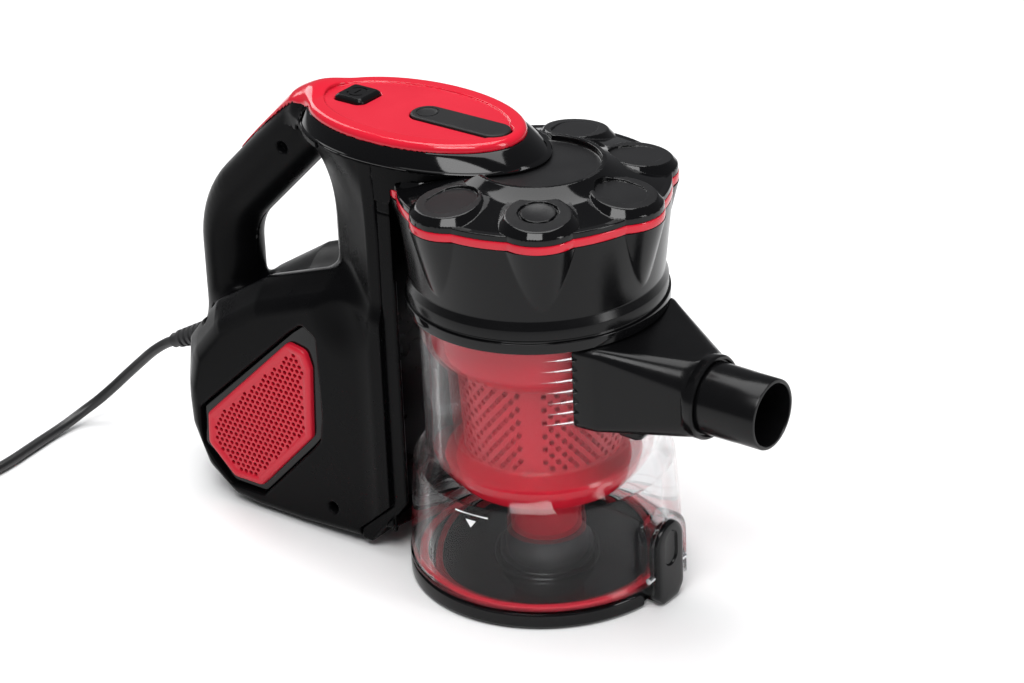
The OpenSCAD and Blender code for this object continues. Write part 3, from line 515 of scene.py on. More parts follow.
def coil_points(steps=30):
    """Turns side by side, clockwise, in layers; each turn shifts over, or up, in its last sixth."""
    outer = COIL_IN + (COIL_TURNS - 0.5) * COIL_PITCH
    radius, height, way = outer, CORD_D / 2, -1
    points = []
    for layer in range(COIL_LAYERS):
        for turn in range(COIL_TURNS):
            last = turn == COIL_TURNS - 1
            over = 0 if last else way * COIL_PITCH
            up = COIL_RISE if last and layer < COIL_LAYERS - 1 else 0
            for k in range(steps):
                t = k / steps
                s = min(1, max(0, (t - 5 / 6) * 6))
                s = s * s * (3 - 2 * s)
                angle = COIL_START - 2 * math.pi * t
                r = radius + over * s
                points.append((COIL_MID.x + r * math.cos(angle), COIL_MID.y + r * math.sin(angle),
                               height + up * s))
            radius += over
            height += up
        way = -way
    middle = Vector((COIL_MID.x, COIL_MID.y, 0)) + (radius - ARC_R) * Vector((math.cos(COIL_START),
                                                                            math.sin(COIL_START), 0))
    plug_z = (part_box("plug_body")[0].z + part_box("plug_body")[1].z) / 2
    for k in range(13):
        t = k / 12
        angle = COIL_START + (-math.pi / 2 - COIL_START) * t
        s = t * t * (3 - 2 * t)
        points.append((middle.x + ARC_R * math.cos(angle), middle.y + ARC_R * math.sin(angle),
                       height + (plug_z - height) * s))
    points.append((points[-1][0] - 0.006, points[-1][1], plug_z))
    return points


def smoothed(points, parts=3):
    """A Catmull-Rom curve through the points."""
    p = [Vector(q) for q in points]
    p = [2 * p[0] - p[1]] + p + [2 * p[-1] - p[-2]]
    result = []
    for i in range(1, len(p) - 2):
        for k in range(parts):
            t = k / parts
            result.append(0.5 * (2 * p[i] + (p[i + 1] - p[i - 1]) * t
                                 + (2 * p[i - 1] - 5 * p[i] + 4 * p[i + 1] - p[i + 2]) * t * t
                                 + (3 * p[i] - p[i - 1] - 3 * p[i + 1] + p[i + 2]) * t ** 3))
    result.append(p[-2])
    return result


def make_cord():
    lead_in = Vector((COIL_MID.x, COIL_MID.y, CORD_D / 2))
    join = lead_in + 0.0421 * Vector((math.cos(math.radians(6)), math.sin(math.radians(6)), 0))
    path = smoothed(ROUTE + [tuple(join)])[:-1] + [Vector(q) for q in coil_points()]
    data = bpy.data.curves.new("cord", "CURVE")
    data.dimensions = "3D"
    data.bevel_depth = CORD_D / 2
    data.bevel_resolution = 3
    data.use_fill_caps = True
    line = data.splines.new("POLY")
    line.points.add(len(path) - 1)
    for point, q in zip(line.points, path):
        point.co = (*q, 1)
    line.use_smooth = True
    cord = bpy.data.objects.new("cord", data)
    bpy.context.scene.collection.objects.link(cord)
    place(cord, "main_unit", "cord_rubber", "power_cord", "cord_coil")
    return cord


def make_gland():
    """The ribbed strain relief: a taper with rings round it, and a collar in the housing."""
    start, end = Vector((-203, 0, 71)), Vector((-235, 0, 55.4))
    length = (end - start).length
    outline = [(2.9, -5), (5.6, -5), (5.6, 1.5)]
    for k in range(7):
        z, r = 3.2 + 4.2 * k, 6.3 - 0.28 * k
        outline += [(r - 1.3, z - 0.9), (r, z - 0.35), (r, z + 1.7), (r - 1.3, z + 2.2)]
    outline += [(3.9, length - 0.6), (3.3, length), (2.9, length)]
    relief = revolve("strain_relief", outline, count=48, shade=40)
    turn = Vector((0, 0, 1)).rotation_difference(end - start).to_matrix().to_4x4()
    relief.data.transform(Matrix.Translation(start * MM) @ turn)
    return place(relief, "main_unit", "black_rubber", "cord_gland")


def make_plug():
    low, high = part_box("plug_body")
    y, z = (low.y + high.y) / 2 / MM, (low.z + high.z) / 2 / MM
    front, tail = low.x / MM, high.x / MM
    outline = [(0, 0), (6.8, 0), (8.3, 1.4), (8.3, 9), (7.4, 10.5), (7.4, 19), (8.3, 20.5), (8.3, 24),
               (6.6, 31)]
    for k in range(4):
        x, r = 33 + 3.7 * k, 5.6 - 0.55 * k
        outline += [(r, x - 1.6), (r, x + 0.5), (r - 1, x + 1)]
    outline += [(3.2, tail - front), (0, tail - front)]
    body = revolve("plug_shell", [(r, -h) for r, h in outline][::-1], axis="x", count=64, closed=False,
                   shade=40)
    body.data.transform(Matrix.Translation((front * MM, y * MM, z * MM)) @ Matrix.Rotation(math.pi, 4, "Z"))
    return place(body, "main_unit", "black_rubber", "plug_body")


cord = make_cord()
relief = make_gland()
plug = make_plug()


# ------------------------------------------------------------------ the housing

FRAME_SIDE = [(-54.8, 32), (-78, 4), (-83.8, 4), (-83.8, 10), (-63.2, 28.5), (-63.2, 207), (-54.8, 207)]
BULGE = [(-50, 142), (-100, 141), (-147, 124), (-180, 103), (-200, 78), (-203, 50), (-200, 32), (-188, 12),
         (-168, 1), (-150, 0), (-121, 0), (-84, 3.3), (-50, 24)]
BULGE_FACE = [(-50, 130), (-100, 129), (-143, 113), (-168, 96), (-184, 77), (-189, 58), (-189, 38),
              (-181, 17), (-165, 4.5), (-150, 2.5), (-121, 2.5), (-84, 4.5), (-50, 34)]
VENT = [(-123, 101), (-112, 99), (-109, 90), (-111, 52), (-146, 15), (-164, 15), (-180, 30), (-179, 47)]
RECESS = [(-122, 106), (-113, 113), (-105, 108), (-104, 66), (-106, 52), (-111, 46), (-145, 10.5),
          (-167, 10.5), (-184.5, 28), (-183.5, 49)]
COLUMN = ([(-36, 38.5), (-70, 38.5)]
          + [(22 * math.cos(math.radians(a)) - 91,
              22 * math.sin(math.radians(a))) for a in range(128, 233, 13)]
          + [(-70, -38.5), (-36, -38.5)])
GRIP_X, GRIP_R, BEND_R, BEND_Z = -188, 15.5, 45, 125
GRIP = ([(GRIP_X, 0, 58)]
        + [(BEND_R * (1 - math.cos(math.radians(a))) + GRIP_X, 0, BEND_Z + BEND_R * math.sin(math.radians(a)))
           for a in range(0, 46, 5)]
        + [(-128.2, 0, 203.5)])
SCREWS = [(-139, 190.5, 11), (-188, 92, 11), (-100, 17, 33)]
HALF_GAP = 0.12


def frame_outline_field(x, z):
    return polygon_field(x, z, FRAME_SIDE)


def neck_field(x, y, z):
    """The column, which spreads out into the head."""
    column = polygon_field(x, np.abs(y), inset(COLUMN, 3)) - 3
    return mixed(column, egg_field(x, y, 73, 62, 40.6), ramp(z, 160, 209) ** 2.4)


def body_field(p):
    x, y, z = p.T
    side = np.abs(y)
    upright = neck_field(x, y, z)
    upright = rounded_join(upright, np.maximum(z - 209, 16 - z), 1.0)
    # the motor bulge: a valley under the handle, crests beside it, and slopes down to flat faces
    valley = 8 * np.exp(-(y / 12.5) ** 2) * eased(z, 72, 104) * eased(x, -200, -178)
    middle = soft_polygon(x, z, BULGE, 9) + valley
    face = soft_polygon(x, z, BULGE_FACE, 7)
    bulge = mixed(middle, face, eased(side, 22, 43) * 0.5 + 0.5 * ramp(side, 25, 40))
    bulge = rounded_join(bulge, side - 40, 5)
    body = soft_min(upright, bulge, 7)
    grip = line_field(p * (1, 1.04, 1), GRIP, GRIP_R)
    body = soft_min(body, grip, 9)
    # the scoop between the shoulder and the column
    scoop = (np.sqrt(((x + 88) / 17) ** 2 + ((side - 46) / 10) ** 2 + ((z - 130) / 24) ** 2) - 1) * 10
    body = soft_max(body, -scoop, 4)
    recess = np.maximum(soft_polygon(x, z, RECESS, 4), 35.2 - side)
    return soft_max(body, -recess, 1.6)


BAND = [(209, 72.5, 62, 41), (210.5, 69.2, 61.5, 39.6), (213.4, 65.2, 60.4, 38.1), (216.5, 60.2, 58.8, 35.8)]


def band_field(x, y, z):
    heights = [row[0] for row in BAND]
    return egg_field(x, y, *[np.interp(z, heights, [row[i] for row in BAND]) for i in (1, 2, 3)])


def housing_field(p, hand):
    """One half of the clamshell, cut at the parting line and along the frame's seam."""
    x, y, z = p.T
    body = body_field(p)
    band = band_field(x, y, z)
    joined = soft_min(line_field(p * (1, 1.04, 1), GRIP, GRIP_R), np.maximum(band, 206 - z), 12)
    joined = np.maximum.reduce([joined, z - 216.3, x + 100, 203 - z])
    body = np.minimum(body, joined)
    body = np.maximum(body, -np.maximum(band - 0.15, 209 - z))
    body = np.maximum(body, -np.maximum(np.hypot(x - KEY_X, y) - 2.7, 203 - z))
    body = soft_max(body, x + 63.1, 0.35)
    body = soft_max(body, 0.15 - frame_outline_field(x, z), 0.35)
    body = np.maximum(body, HALF_GAP - hand * y)
    if hand < 0:
        for sx, sz, depth in SCREWS:
            hole = np.sqrt((x - sx) ** 2 + (z - sz) ** 2) - 3
            body = soft_max(body, -np.maximum(hole, y + depth), 0.8)
        slot = line_field(np.stack([x, 0 * y, z], 1), [(-124.5, 0, 204.5), (-121, 0, 199)], 1.7)
        body = soft_max(body, -np.maximum(slot, y + 14), 0.8)
    gland = line_field(p, [(-190, 0, 77.3), (-235, 0, 55.4)], 5.9)
    return np.maximum(body, -gland)


def make_housing():
    for name, hand in (("shell_right", -1), ("shell_left", 1)):
        low, high = ((-206, -42, -2), (-62, 0.9, 218)) if hand < 0 else ((-206, -0.9, -2), (-62, 42, 218))
        half = grow(name, lambda p: housing_field(p, hand), low, high, 1.0)
        place(half, "main_unit", "satin_black", "housing_right" if hand < 0 else "housing_left")


def front_frame_field(p):
    """The plate that faces the cup: side flanges, a round cradle with a window, and a sloping foot."""
    x, y, z = p.T
    side, around = np.abs(y), np.hypot(x, y)
    plate = soft_polygon(x, z, [(-54.8, 32), (-78, 4), (-84, 4), (-84, 10), (-63.2, 28.5)], 0.8)
    outline = np.minimum(frame_outline_field(x, z), plate)
    flange = rounded_join(np.maximum(outline, 36 - side), side - 38.5, 1.2)
    cradle = np.maximum.reduce([around - 75, 72.6 - around, 14 - z, z - 207, x + 54.8, side - 38])
    foot = np.maximum.reduce([plate, side - 37, 70.5 - around])
    solid = np.minimum(np.minimum(flange, cradle), foot)
    neck = neck_field(x, y, z)
    flare_low = np.interp(x, [-54.8, -50.4, -50, -20], [190, 197, 201.6, 208.2])
    flare = np.maximum.reduce([neck, -neck - 2.5, 184.3 - z, z - 208.95, x + 20, -63.4 - x, flare_low - z])
    solid = np.minimum(solid, flare)
    window = np.maximum.reduce([side - 27, 40 - z, z - 186])
    lobes = np.maximum(np.minimum(around - 64, petal_round(x, y, PETAL_X, 20)), 150 - z)
    seam = np.maximum(np.abs(z - 184) - 0.3, 37.9 - side)
    lobes = np.where(z > 197.5, 9, lobes)
    return soft_max(np.maximum.reduce([solid, -window, -lobes]), -seam, 0.4)


def folded(x, y):
    """Coordinates along and across the nearest lobe of the cyclone head."""
    angle = np.arctan2(y, x)
    step = 2 * math.pi / PETALS
    angle = (angle + step / 2) % step - step / 2
    around = np.hypot(x, y)
    return around * np.cos(angle), around * np.sin(angle)


def petal_round(x, y, centre, radius):
    u, v = folded(x, y)
    return np.hypot(u - centre, v) - radius


def ring_stack(name, rings, ends=True, crease=40):
    """A skin over rings of equally many points; the end rings are capped, or joined to each other."""
    size, many = len(rings[0]), len(rings)
    points = [p for ring in rings for p in ring]
    faces = [(k * size + i, k * size + (i + 1) % size, (k + 1) % many * size + (i + 1) % size,
              (k + 1) % many * size + i) for k in range(many - 1 if ends else many) for i in range(size)]
    if ends:
        faces += [tuple(range(size))[::-1], tuple(range((many - 1) * size, many * size))]
    return smooth_by_angle(mesh_object(name, points, faces), crease)


def paint(obj, chosen):
    """Gives the second material to the faces that chosen(x, y, z, up) picks; x, y and z are in mm."""
    middle, normal = np.zeros(len(obj.data.polygons) * 3), np.zeros(len(obj.data.polygons) * 3)
    obj.data.polygons.foreach_get("center", middle)
    obj.data.polygons.foreach_get("normal", normal)
    picked = chosen(*(middle.reshape(-1, 3).T / MM), normal[2::3])
    obj.data.polygons.foreach_set("material_index", picked.astype(np.int32))


def side_rings(outline, levels, hand, radius):
    """Rings of a filleted outline in x and z: one for each (drawn in by, distance out) level."""
    rings = []
    for amount, out in levels:
        corner = max(0.6, radius - amount)
        rings.append([(x, hand * out, z) for x, z in filleted(inset(outline, amount), corner, steps=5)])
    return rings


def make_vents():
    for hand, name in ((-1, "right"), (1, "left")):
        levels = [(0.2, 35.3), (0.2, 38.6), (0.5, 39.5), (1.2, 40.1), (2.2, 40.3), (3.4, 40.2), (4.2, 39.8),
                  (4.9, 39.5)]
        grille = ring_stack("grille_" + name, side_rings(VENT, levels, hand, 5))
        holes = []
        for row in range(34):
            z = 15 + row * 2.75
            for k in range(30):
                x = -185 + k * 3.2 + (1.6 if row % 2 else 0)
                if polygon_field(np.array([x]), np.array([z]), inset(VENT, 5.2))[0] < 0:
                    holes.append((x, z))
        points, faces = [], []
        for x, z in holes:
            base = len(points)
            for y in (36.5, 42):
                points += [(x + 1.12 * math.cos(math.pi * i / 6), hand * y,
                            z + 1.12 * math.sin(math.pi * i / 6))
                           for i in range(12)]
            faces += [(base + i, base + (i + 1) % 12, base + 12 + (i + 1) % 12,
                       base + 12 + i) for i in range(12)]
            faces += [tuple(base + i for i in range(11, -1, -1)), tuple(base + 12 + i for i in range(12))]
        drill = smooth_by_angle(mesh_object("tool", points, faces), 1)
        cut(grille, drill)
        smooth_by_angle(grille, 40)
        place(grille, "main_unit", "satin_red", "exhaust_grille_" + name)
        rim = [(0.6, 35.25), (0.6, 36.9), (1.0, 37.3), (1.6, 37.4)]
        outer = side_rings(RECESS, rim, hand, 4.5)
        bezel = ring_stack("bezel_" + name, outer)
        hollow = ring_stack("tool", side_rings(VENT, [(0.1, 30), (0.1, 45)], hand, 5))
        cut(bezel, hollow)
        smooth_by_angle(bezel, 40)
        place(bezel, "main_unit", "gloss_black", "vent_bezel_" + name)


def make_front_frame():
    made = grow("front_plate", front_frame_field, (-87, -41.5, 2), (-19, 41.5, 210.5), 0.85)
    place(made, "main_unit", "satin_black", "front_frame")


make_housing()
make_front_frame()
make_vents()


# ------------------------------------------------------------------ the head: band, cover, stripe and buttons

def egg_ring(front, rear, half, z, count=160, middle=HEAD_X):
    ring = []
    for k in range(count):
        c, s = math.cos(2 * math.pi * k / count), math.sin(2 * math.pi * k / count)
        ring.append((middle + (front if c > 0 else rear) * c, half * s, z))
    return ring


def flat_rings(outline, levels):
    """Rings of an outline in x and y: one for each (grown by, z) level."""
    return [[(x, y, z) for x, y in inset(outline, -amount)] for amount, z in levels]


def pill(x0, x1, radius, steps=20):
    near = [(x0 + radius * math.cos(math.pi * (0.5 + k / steps)),
             radius * math.sin(math.pi * (0.5 + k / steps)))
            for k in range(steps + 1)]
    far = [(x1 - x + x0, -y) for x, y in near]
    return near + far


PILL = pill(RELEASE_X, -22, 8)
KEY = filleted([(KEY_X - 8.5, -8.5), (KEY_X + 8.5, -8.5), (KEY_X + 8.5, 8.5), (KEY_X - 8.5, 8.5)], 3.4,
               steps=7)


def make_head_band():
    levels = [(50.5, 55, 24, 209), (71.2, 60.8, 39.8, 209), (72.3, 61.8, 40.8, 209.15), (72.5, 62, 41, 209.6),
              (72.0, 61.8, 40.7, 210), (69.7, 61.6, 39.8, 210.1), (69.2, 61.5, 39.6, 210.5),
              (67.6, 61.1, 39.0, 211.7), (65.2, 60.4, 38.1, 213.4), (62.4, 59.6, 36.9, 215.2),
              (60.6, 59.0, 36.0, 216.3), (59.9, 58.6, 35.6, 216.65), (59.2, 58.2, 35, 216.65),
              (57.4, 56.8, 33.4, 216.4), (65.3, 58.4, 36.4, 211.2), (50.5, 55, 24, 211)]
    band = ring_stack("head_skirt", [egg_ring(*level) for level in levels], ends=False)
    place(smooth_by_angle(band, 38), "main_unit", "gloss_black", "head_band")


STRIPE = [(-112, 26), (-117, 21), (-121, 17), (-126, 13.8), (-133, 11.2), (-142, 8.8), (-152, 6.8),
          (-164, 4.0), (-178, 0.4)]


def pill_field(x, y):
    return np.hypot(x - np.clip(x, RELEASE_X, -22), y) - 8


def key_field(x, y):
    u, v = np.abs(x - KEY_X) - 5.1, np.abs(y) - 5.1
    return np.hypot(np.maximum(u, 0), np.maximum(v, 0)) + np.minimum(np.maximum(u, v), 0) - 3.4


def red_cover_field(p):
    """The red cover: a raised rim round a sunken top, and a narrowing stripe down the handle's ridge."""
    x, y, z = p.T
    rim = rounded_join(egg_field(x, y, 59.2, 58.7, 35.2), z - 220.5, 3.2)
    ridge = line_field(p, GRIP, GRIP_R + 1.1)
    width = np.interp(-x, [-a for a, _ in STRIPE], [b for _, b in STRIPE])
    band = np.where((z > 208.5) & (z < 216.5), band_field(x, y, z), 9)
    saddle = soft_max(soft_min(rim, ridge, 11), np.abs(y) - width, 1.0)
    saddle = np.maximum.reduce([saddle, 0.12 - body_field(p), 0.1 - band, x + 112, -178 - x, 336 - z + x])
    solid = np.minimum(np.maximum(rim, 216.5 - z), saddle)
    sunk = np.maximum(egg_field(x, y, 51.3, 50.5, 26.8), 219.75 - z)
    solid = soft_max(solid, -sunk, 0.8)
    openings = np.minimum(pill_field(x, y), key_field(x, y)) - 0.45 - 0.7 * np.maximum(z - 219.2, 0)
    hollow = np.maximum(egg_field(x, y, 56.5, 56, 32.5), z - 218.2)
    return np.maximum.reduce([solid, -openings, -hollow])


def make_top_cover():
    cover = grow("red_cover", red_cover_field, (-181, -37, 170), (-7, 37, 222), 0.72)
    cover.data.materials.append(MATERIALS["gloss_red"])
    cover.data.materials.append(MATERIALS["satin_red"])
    paint(cover, lambda x, y, z, up: (egg_field(x, y, 51.0, 50.2, 26.6) < 0) & (up > 0.9))
    place(cover, "main_unit", "gloss_red", "top_cover")


def make_buttons():
    power = ring_stack("power_key_cap", flat_rings(KEY, [
        (-0.4, 216.4), (0, 216.8), (0, 220.6), (-0.15, 220.9), (-1.5, 222.0), (-1.8, 222.1), (-2.2, 222.05)]))
    for start in (0.14, 1.14):
        ring = [(KEY_X + r * math.cos(a), r * math.sin(a)) for r in (5.1, 4.3)
                for a in np.linspace(math.pi * start, math.pi * (start + 0.72), 17)[::1 if r > 5 else -1]]
        cut(power, ring_stack("tool", [[(x, y, z) for x, y in ring] for z in (221.6, 223)]))
    cut(power, box_tool((KEY_X - 0.4, -2.5, 221.6), (KEY_X + 0.4, 2.5, 223)))
    stem = revolve("tool", [(0, 209.4), (2, 209.4), (2, 214.4), (5, 214.4), (5, 216.6), (0, 216.6)],
                   closed=False, centre=(KEY_X, 0, 0), count=40)
    join(power, stem)
    place(smooth_by_angle(power, 30), "power_key", "semi_gloss_black", "power_button")

    release = ring_stack("release_key_cap", flat_rings(PILL, [
        (-0.4, 219.45), (0, 219.55), (0, 220.1), (-0.15, 220.45), (-0.6, 220.75), (-1.2, 220.85),
                                                              (-2, 220.85)]))
    cut(release, revolve("tool", [(5.0, 220.5), (5.5, 220.5), (5.7, 222), (4.8, 222)],
                         centre=(RELEASE_X, 0, 0), count=72))
    dimple = revolve("tool", [(0, 220.35), (1.6, 220.38), (3, 220.5), (4.2, 220.7), (4.9, 221.1), (4.9, 222),
                              (0, 222)],
                     closed=False, centre=(RELEASE_X, 0, 0), count=72)
    cut(release, dimple)
    low = box_tool((-76.8, -3, 216.5), (-64, 3, 218.2))
    step = box_tool((-68, -3, 217.5), (-64, 3, 220))
    join(release, low, step, rod(2, 215.8, 220, centre=(-58, 0, 0)))
    place(smooth_by_angle(release, 30), "release_key", "matte_black", "release_button")


def make_spring(name, node, x, bottom, top, radius):
    """A wire spring under a key."""
    wire, turns, around = 0.42, 6, 10
    count = turns * 24
    points, faces = [], []
    for k in range(count + 1):
        turn = 2 * math.pi * k / 24
        z = bottom + wire + (top - bottom - 2 * wire) * (k / count)
        for i in range(around):
            a = 2 * math.pi * i / around
            reach = radius - wire + wire * math.cos(a)
            points.append((x + reach * math.cos(turn), reach * math.sin(turn), z + wire * math.sin(a)))
    for k in range(count):
        for i in range(around):
            j = (i + 1) % around
            faces.append((k * around + i, (k + 1) * around + i, (k + 1) * around + j, k * around + j))
    faces += [tuple(range(around)), tuple(count * around + i for i in range(around - 1, -1, -1))]
    spring = smooth_by_angle(mesh_object(name, points, faces), 60)
    place(spring, "main_unit", "bearing_steel", node)
    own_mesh(spring)


make_head_band()
make_top_cover()
make_buttons()
make_spring("power_spring", "power_button_spring", KEY_X, 207, 214.4, 4)
make_spring("release_spring", "release_button_spring", -73.8, 207, 216.4, 3)


# ------------------------------------------------------------------ the cyclone head and its cover

HEAD_ANGLES = np.linspace(-math.pi, math.pi, HEAD_POINTS + 1)[:-1]
LOBE = (HEAD_ANGLES + math.pi / PETALS) % (2 * math.pi / PETALS) - math.pi / PETALS


def lobed(base, centre, radius, k):
    """Distance from the axis at each angle: a circle joined to its ring of lobes."""
    across = centre * np.sin(LOBE)
    reach = centre * np.cos(LOBE) + np.sqrt(np.maximum(radius * radius - across * across, 0))
    reach = np.where(np.abs(across) < radius, reach, 0)
    return soft_max(np.full_like(reach, base), reach, k) if k else np.maximum(base, reach)


def polar_ring(reach, z):
    return [(r * math.cos(a), r * math.sin(a), z) for r, a in zip(reach, HEAD_ANGLES)]


def make_cyclone_head():
    rings = [polar_ring(np.full(HEAD_POINTS, r), z) for r, z in
             ((55.5, 147), (56.2, 148), (60.7, 148), (61, 148.3), (61, 152.9), (60.85, 153.3), (59.75, 156.8),
              (59.6, 157.2))]
    for z in np.linspace(157.6, 193.7, 56):
        base = 59.6 + 3.9 * (z - 157.3) / 36.7
        t = min(1, max(0, (z - 162.3) / 31.7))
        half, out = 15.6 * t ** 0.55, 5.1 * t ** 0.9
        bow = out + half * half / (2 * base) + 1e-6
        radius = (half * half + bow * bow) / (2 * bow)
        rings.append(polar_ring(lobed(base, base + out - radius, radius, 0.3) if t > 0.002 else
                                np.full(len(LOBE), base), z))
    top = lobed(63.5, 49.3, 19.4, 0.2)
    rings += [polar_ring(top - 0.5, 194), polar_ring(np.full(HEAD_POINTS, 60.6), 194),
              polar_ring(np.full(HEAD_POINTS, 57.2), 158), polar_ring(np.full(HEAD_POINTS, 57.2), 147)]
    head = ring_stack("cyclone_crown", rings, ends=False, crease=32)
    place(head, "dust_cup", "semi_gloss_black", "cyclone_head")
    rings = [polar_ring(lobed(63.5 + g, 49, 19.5 + g, 0.3), z) for g, z in
             ((-0.5, 194.0), (-0.1, 194.1), (0.05, 194.5), (0.05, 197.5), (-0.1, 197.9), (-0.5, 198.0))]
    rings += [polar_ring(np.full(HEAD_POINTS, 58.0), z) for z in (198, 194)]
    trim = ring_stack("red_trim", rings, ends=False)
    place(trim, "dust_cup", "gloss_red", "trim_ring")


def cover_field(p):
    """The cyclone cover: lobes with sloping tops, a dish with a raised rim, and room for the head's nose."""
    x, y, z = p.T
    u, v = folded(x, y)
    around = np.hypot(x, y)
    outline = np.minimum(around - 63.3, np.hypot(u - PETAL_X, v) - 19.3)
    plate = rounded_join(outline, z - 201, 0.5)
    dome = np.maximum(z - (200.6 + (61.5 - around) * 0.285), around - 62)
    top = 208.3 - (u - 33) * 0.13
    wall = np.hypot(u - PETAL_X, v) - 19.1 + np.maximum(z - 201.2, 0) * 0.85
    petal = soft_max(wall, z - top, 0.6)
    far = np.hypot(x - 3, y)
    rim = np.maximum(z - 210.9, far - 31.2 - (210.9 - z) * 1.55)
    solid = np.minimum(np.minimum(plate, petal), soft_min(dome, rim, 2.5))
    dish = rounded_join(far - 29, 208 - z, 0.8)
    solid = soft_max(solid, -dish, 0.9)
    middle = np.hypot(x - PETAL_X * math.cos(math.radians(51.43)),
                      y + PETAL_X * math.sin(math.radians(51.43)))
    sunk = np.maximum(np.hypot(u - 48 - np.clip(u - 48, -2, 3), v) - 10,
                      top - np.clip(0.06 * (60 - u), 0, 1.4) - z)
    solid = np.where(middle < 19.5, solid, soft_max(solid, -sunk, 0.35))
    track = np.maximum(np.abs(middle - 8.6) - 0.6, top - 1.0 - z)
    solid = np.where(middle < 19.5, soft_max(solid, -track, 0.25), solid)
    button = np.sqrt(middle ** 2 + (z - top - 24.1) ** 2) - 25.2
    solid = soft_max(solid, -np.where(middle < 8.2, button, 9), 0.3)
    # the nose of the head above, its neck, and the lever under it
    nose = np.maximum(egg_field(x, y, 74.5, 90, 43), 208.6 - z)
    behind = np.maximum.reduce([x + 60, 208.6 - z, np.abs(y) - 43])
    neck = np.maximum(np.minimum(np.maximum(x + 47, 201 - z), x + 50.6), np.abs(y) - 42)
    lever = np.maximum.reduce([x + 16, 206 - z, np.abs(y) - 6])
    solid = np.maximum(solid, -np.minimum(np.minimum(nose, behind), np.minimum(neck, lever)))
    under = np.maximum(around - (56 - (z - 197) * 5.2), z - 202)
    return np.maximum.reduce([solid, 198.05 - z, -under])


def is_satin_painted_light_top(x, y, z, up):
    """The lobes' tops and the dish's floor, facing up: a real satin finish, whose lighter colour is painted
    light from above.
    """
    u, v = folded(x, y)
    return (up > 0.93) & (z > 202.5) & ((np.hypot(u - PETAL_X, v) < 17.5) | (np.hypot(x - 3, y) < 29))


def make_cyclone_cover():
    cover = grow("cyclone_lobes", cover_field, (-64, -70, 197), (70, 70, 212), 0.62)
    cover.data.materials.append(MATERIALS["gloss_black"])
    cover.data.materials.append(MATERIALS["satin_top_painted_light"])
    # the upward faces of the lobes and dish take the lighter satin finish: painted light from above, on a
    # real satin texture
    paint(cover, is_satin_painted_light_top)
    place(cover, "dust_cup", "gloss_black", "cyclone_cover")


make_cyclone_head()
make_cyclone_cover()


# ------------------------------------------------------------------ the dust cup

def arch_rings(levels):
    """Rings across X of the clear arch round the latch: one for each (drawn in by, x) level."""
    rings = []
    for amount, x in levels:
        outer, inner = 15 - amount, 11.8 + amount
        ring = [(-outer, 9.6),
                *[(outer * math.cos(a), 31.5 + outer * math.sin(a)) for a in np.linspace(math.pi, 0, 33)],
                (outer, 9.6)]
        ring += [(inner, 9.6),
                 *[(inner * math.cos(a), 31.5 + inner * math.sin(a)) for a in np.linspace(0, math.pi, 33)],
                 (-inner, 9.6)]
        rings.append([(x, y, z) for y, z in ring])
    return rings


def make_cup():
    wall = 2.2
    outer = [(65.4, 9.5), (65.9, 9.9), (65.9, 11.6), (65.5, 12.3), (65.1, 13.0), (64.6, 30), (62.6, 58.8),
             (62.3, 59.7), (61.6, 60.4), (57.4, 65.6), (56.4, 67.2), (56, 69.4), (56, 147)]
    inner = [(r - wall, z - 0.6 if 50 < z < 70 else z) for r, z in outer]
    cup = revolve("clear_cup", outer + inner[::-1], count=192, shade=24)
    arch = ring_stack("tool", arch_rings([(0.6, 58), (0, 59), (0, 70.2), (0.35, 71.0), (1.0, 71.4)]),
                      crease=50)
    cut(arch, revolve("tool", [(0, -1), (64.0, -1), (64.0, 30), (62.0, 60), (0, 60)], closed=False,
                      count=192))
    parts = [arch]
    for side in (-1, 1):
        y0, y1 = sorted((6.2 * side, 10.2 * side))
        ear = box_tool((-71.0, y0, 2.6), (-63.2, y1, 12))
        cut(ear, revolve("tool", [(0, -1), (67, -1), (67, 9.5), (64, 9.6), (64, 20), (0, 20)], closed=False,
                         count=96))
        parts.append(ear)
    join(cup, *parts)
    window = filleted([(-27, 103), (27, 103), (27, 139), (-27, 139)], 3)
    cut(cup, ring_stack("tool", [[(x, y, z) for y, z in window] for x in (40, 70)]),
        rod(1.5, -20, 20, "y", HINGE), rod(1.5, -20, 20, "y", LATCH_PIN))
    place(smooth_by_angle(cup, 24), "dust_cup", "clear_plastic", "cup_shell")
    points, faces = [], []
    for k in range(7):
        z = 135.2 - 5.4 * k
        steps = 10
        for i in range(steps + 1):
            t = i / steps
            angle = math.radians(-52 - 1.5 * math.sin(k * 1.1) + (14.5 + 1.2 * math.sin(k * 1.1)) * t)
            out, half = 0.12 + 2.4 * t ** 1.3, 0.1 + 0.75 * t
            for r, dz in ((56.06, half), (56.06 + out, half * 0.25), (56.06 + out, -half * 0.25),
                          (56.06, -half)):
                points.append((r * math.cos(angle), r * math.sin(angle), z + dz))
        base = len(points) - 4 * (steps + 1)
        for i in range(steps):
            a, b = base + 4 * i, base + 4 * i + 4
            faces += [(a + j, a + (j + 1) % 4, b + (j + 1) % 4, b + j) for j in range(4)]
        faces += [(base + 3, base + 2, base + 1, base), tuple(base + 4 * steps + j for j in range(4))]
    ribs = smooth_by_angle(mesh_object("grip_ribs", points, faces), 30)
    ribs.data.materials.append(MATERIALS["clear_rib"])
    place(ribs, "dust_cup", "clear_plastic")
    collar = revolve("neck_collar", filleted([(56.05, 141.8), (62, 141.8), (62, 147), (60.5, 147),
                                              (60.5, 148), (56.05, 148)], 0.45), shade=40)
    place(collar, "dust_cup", "gloss_black", "cup_collar")


def wall_strip(points, radius_at, out, thick):
    """A thin raised shape on the cup's wall; points are (angle in degrees, z) around its edge."""
    rings = []
    for lift in (out, out + thick):
        rings.append([((radius_at(z) + lift) * math.cos(math.radians(a)),
                       (radius_at(z) + lift) * math.sin(math.radians(a)), z) for a, z in points])
    return ring_stack("mark", rings, crease=20)


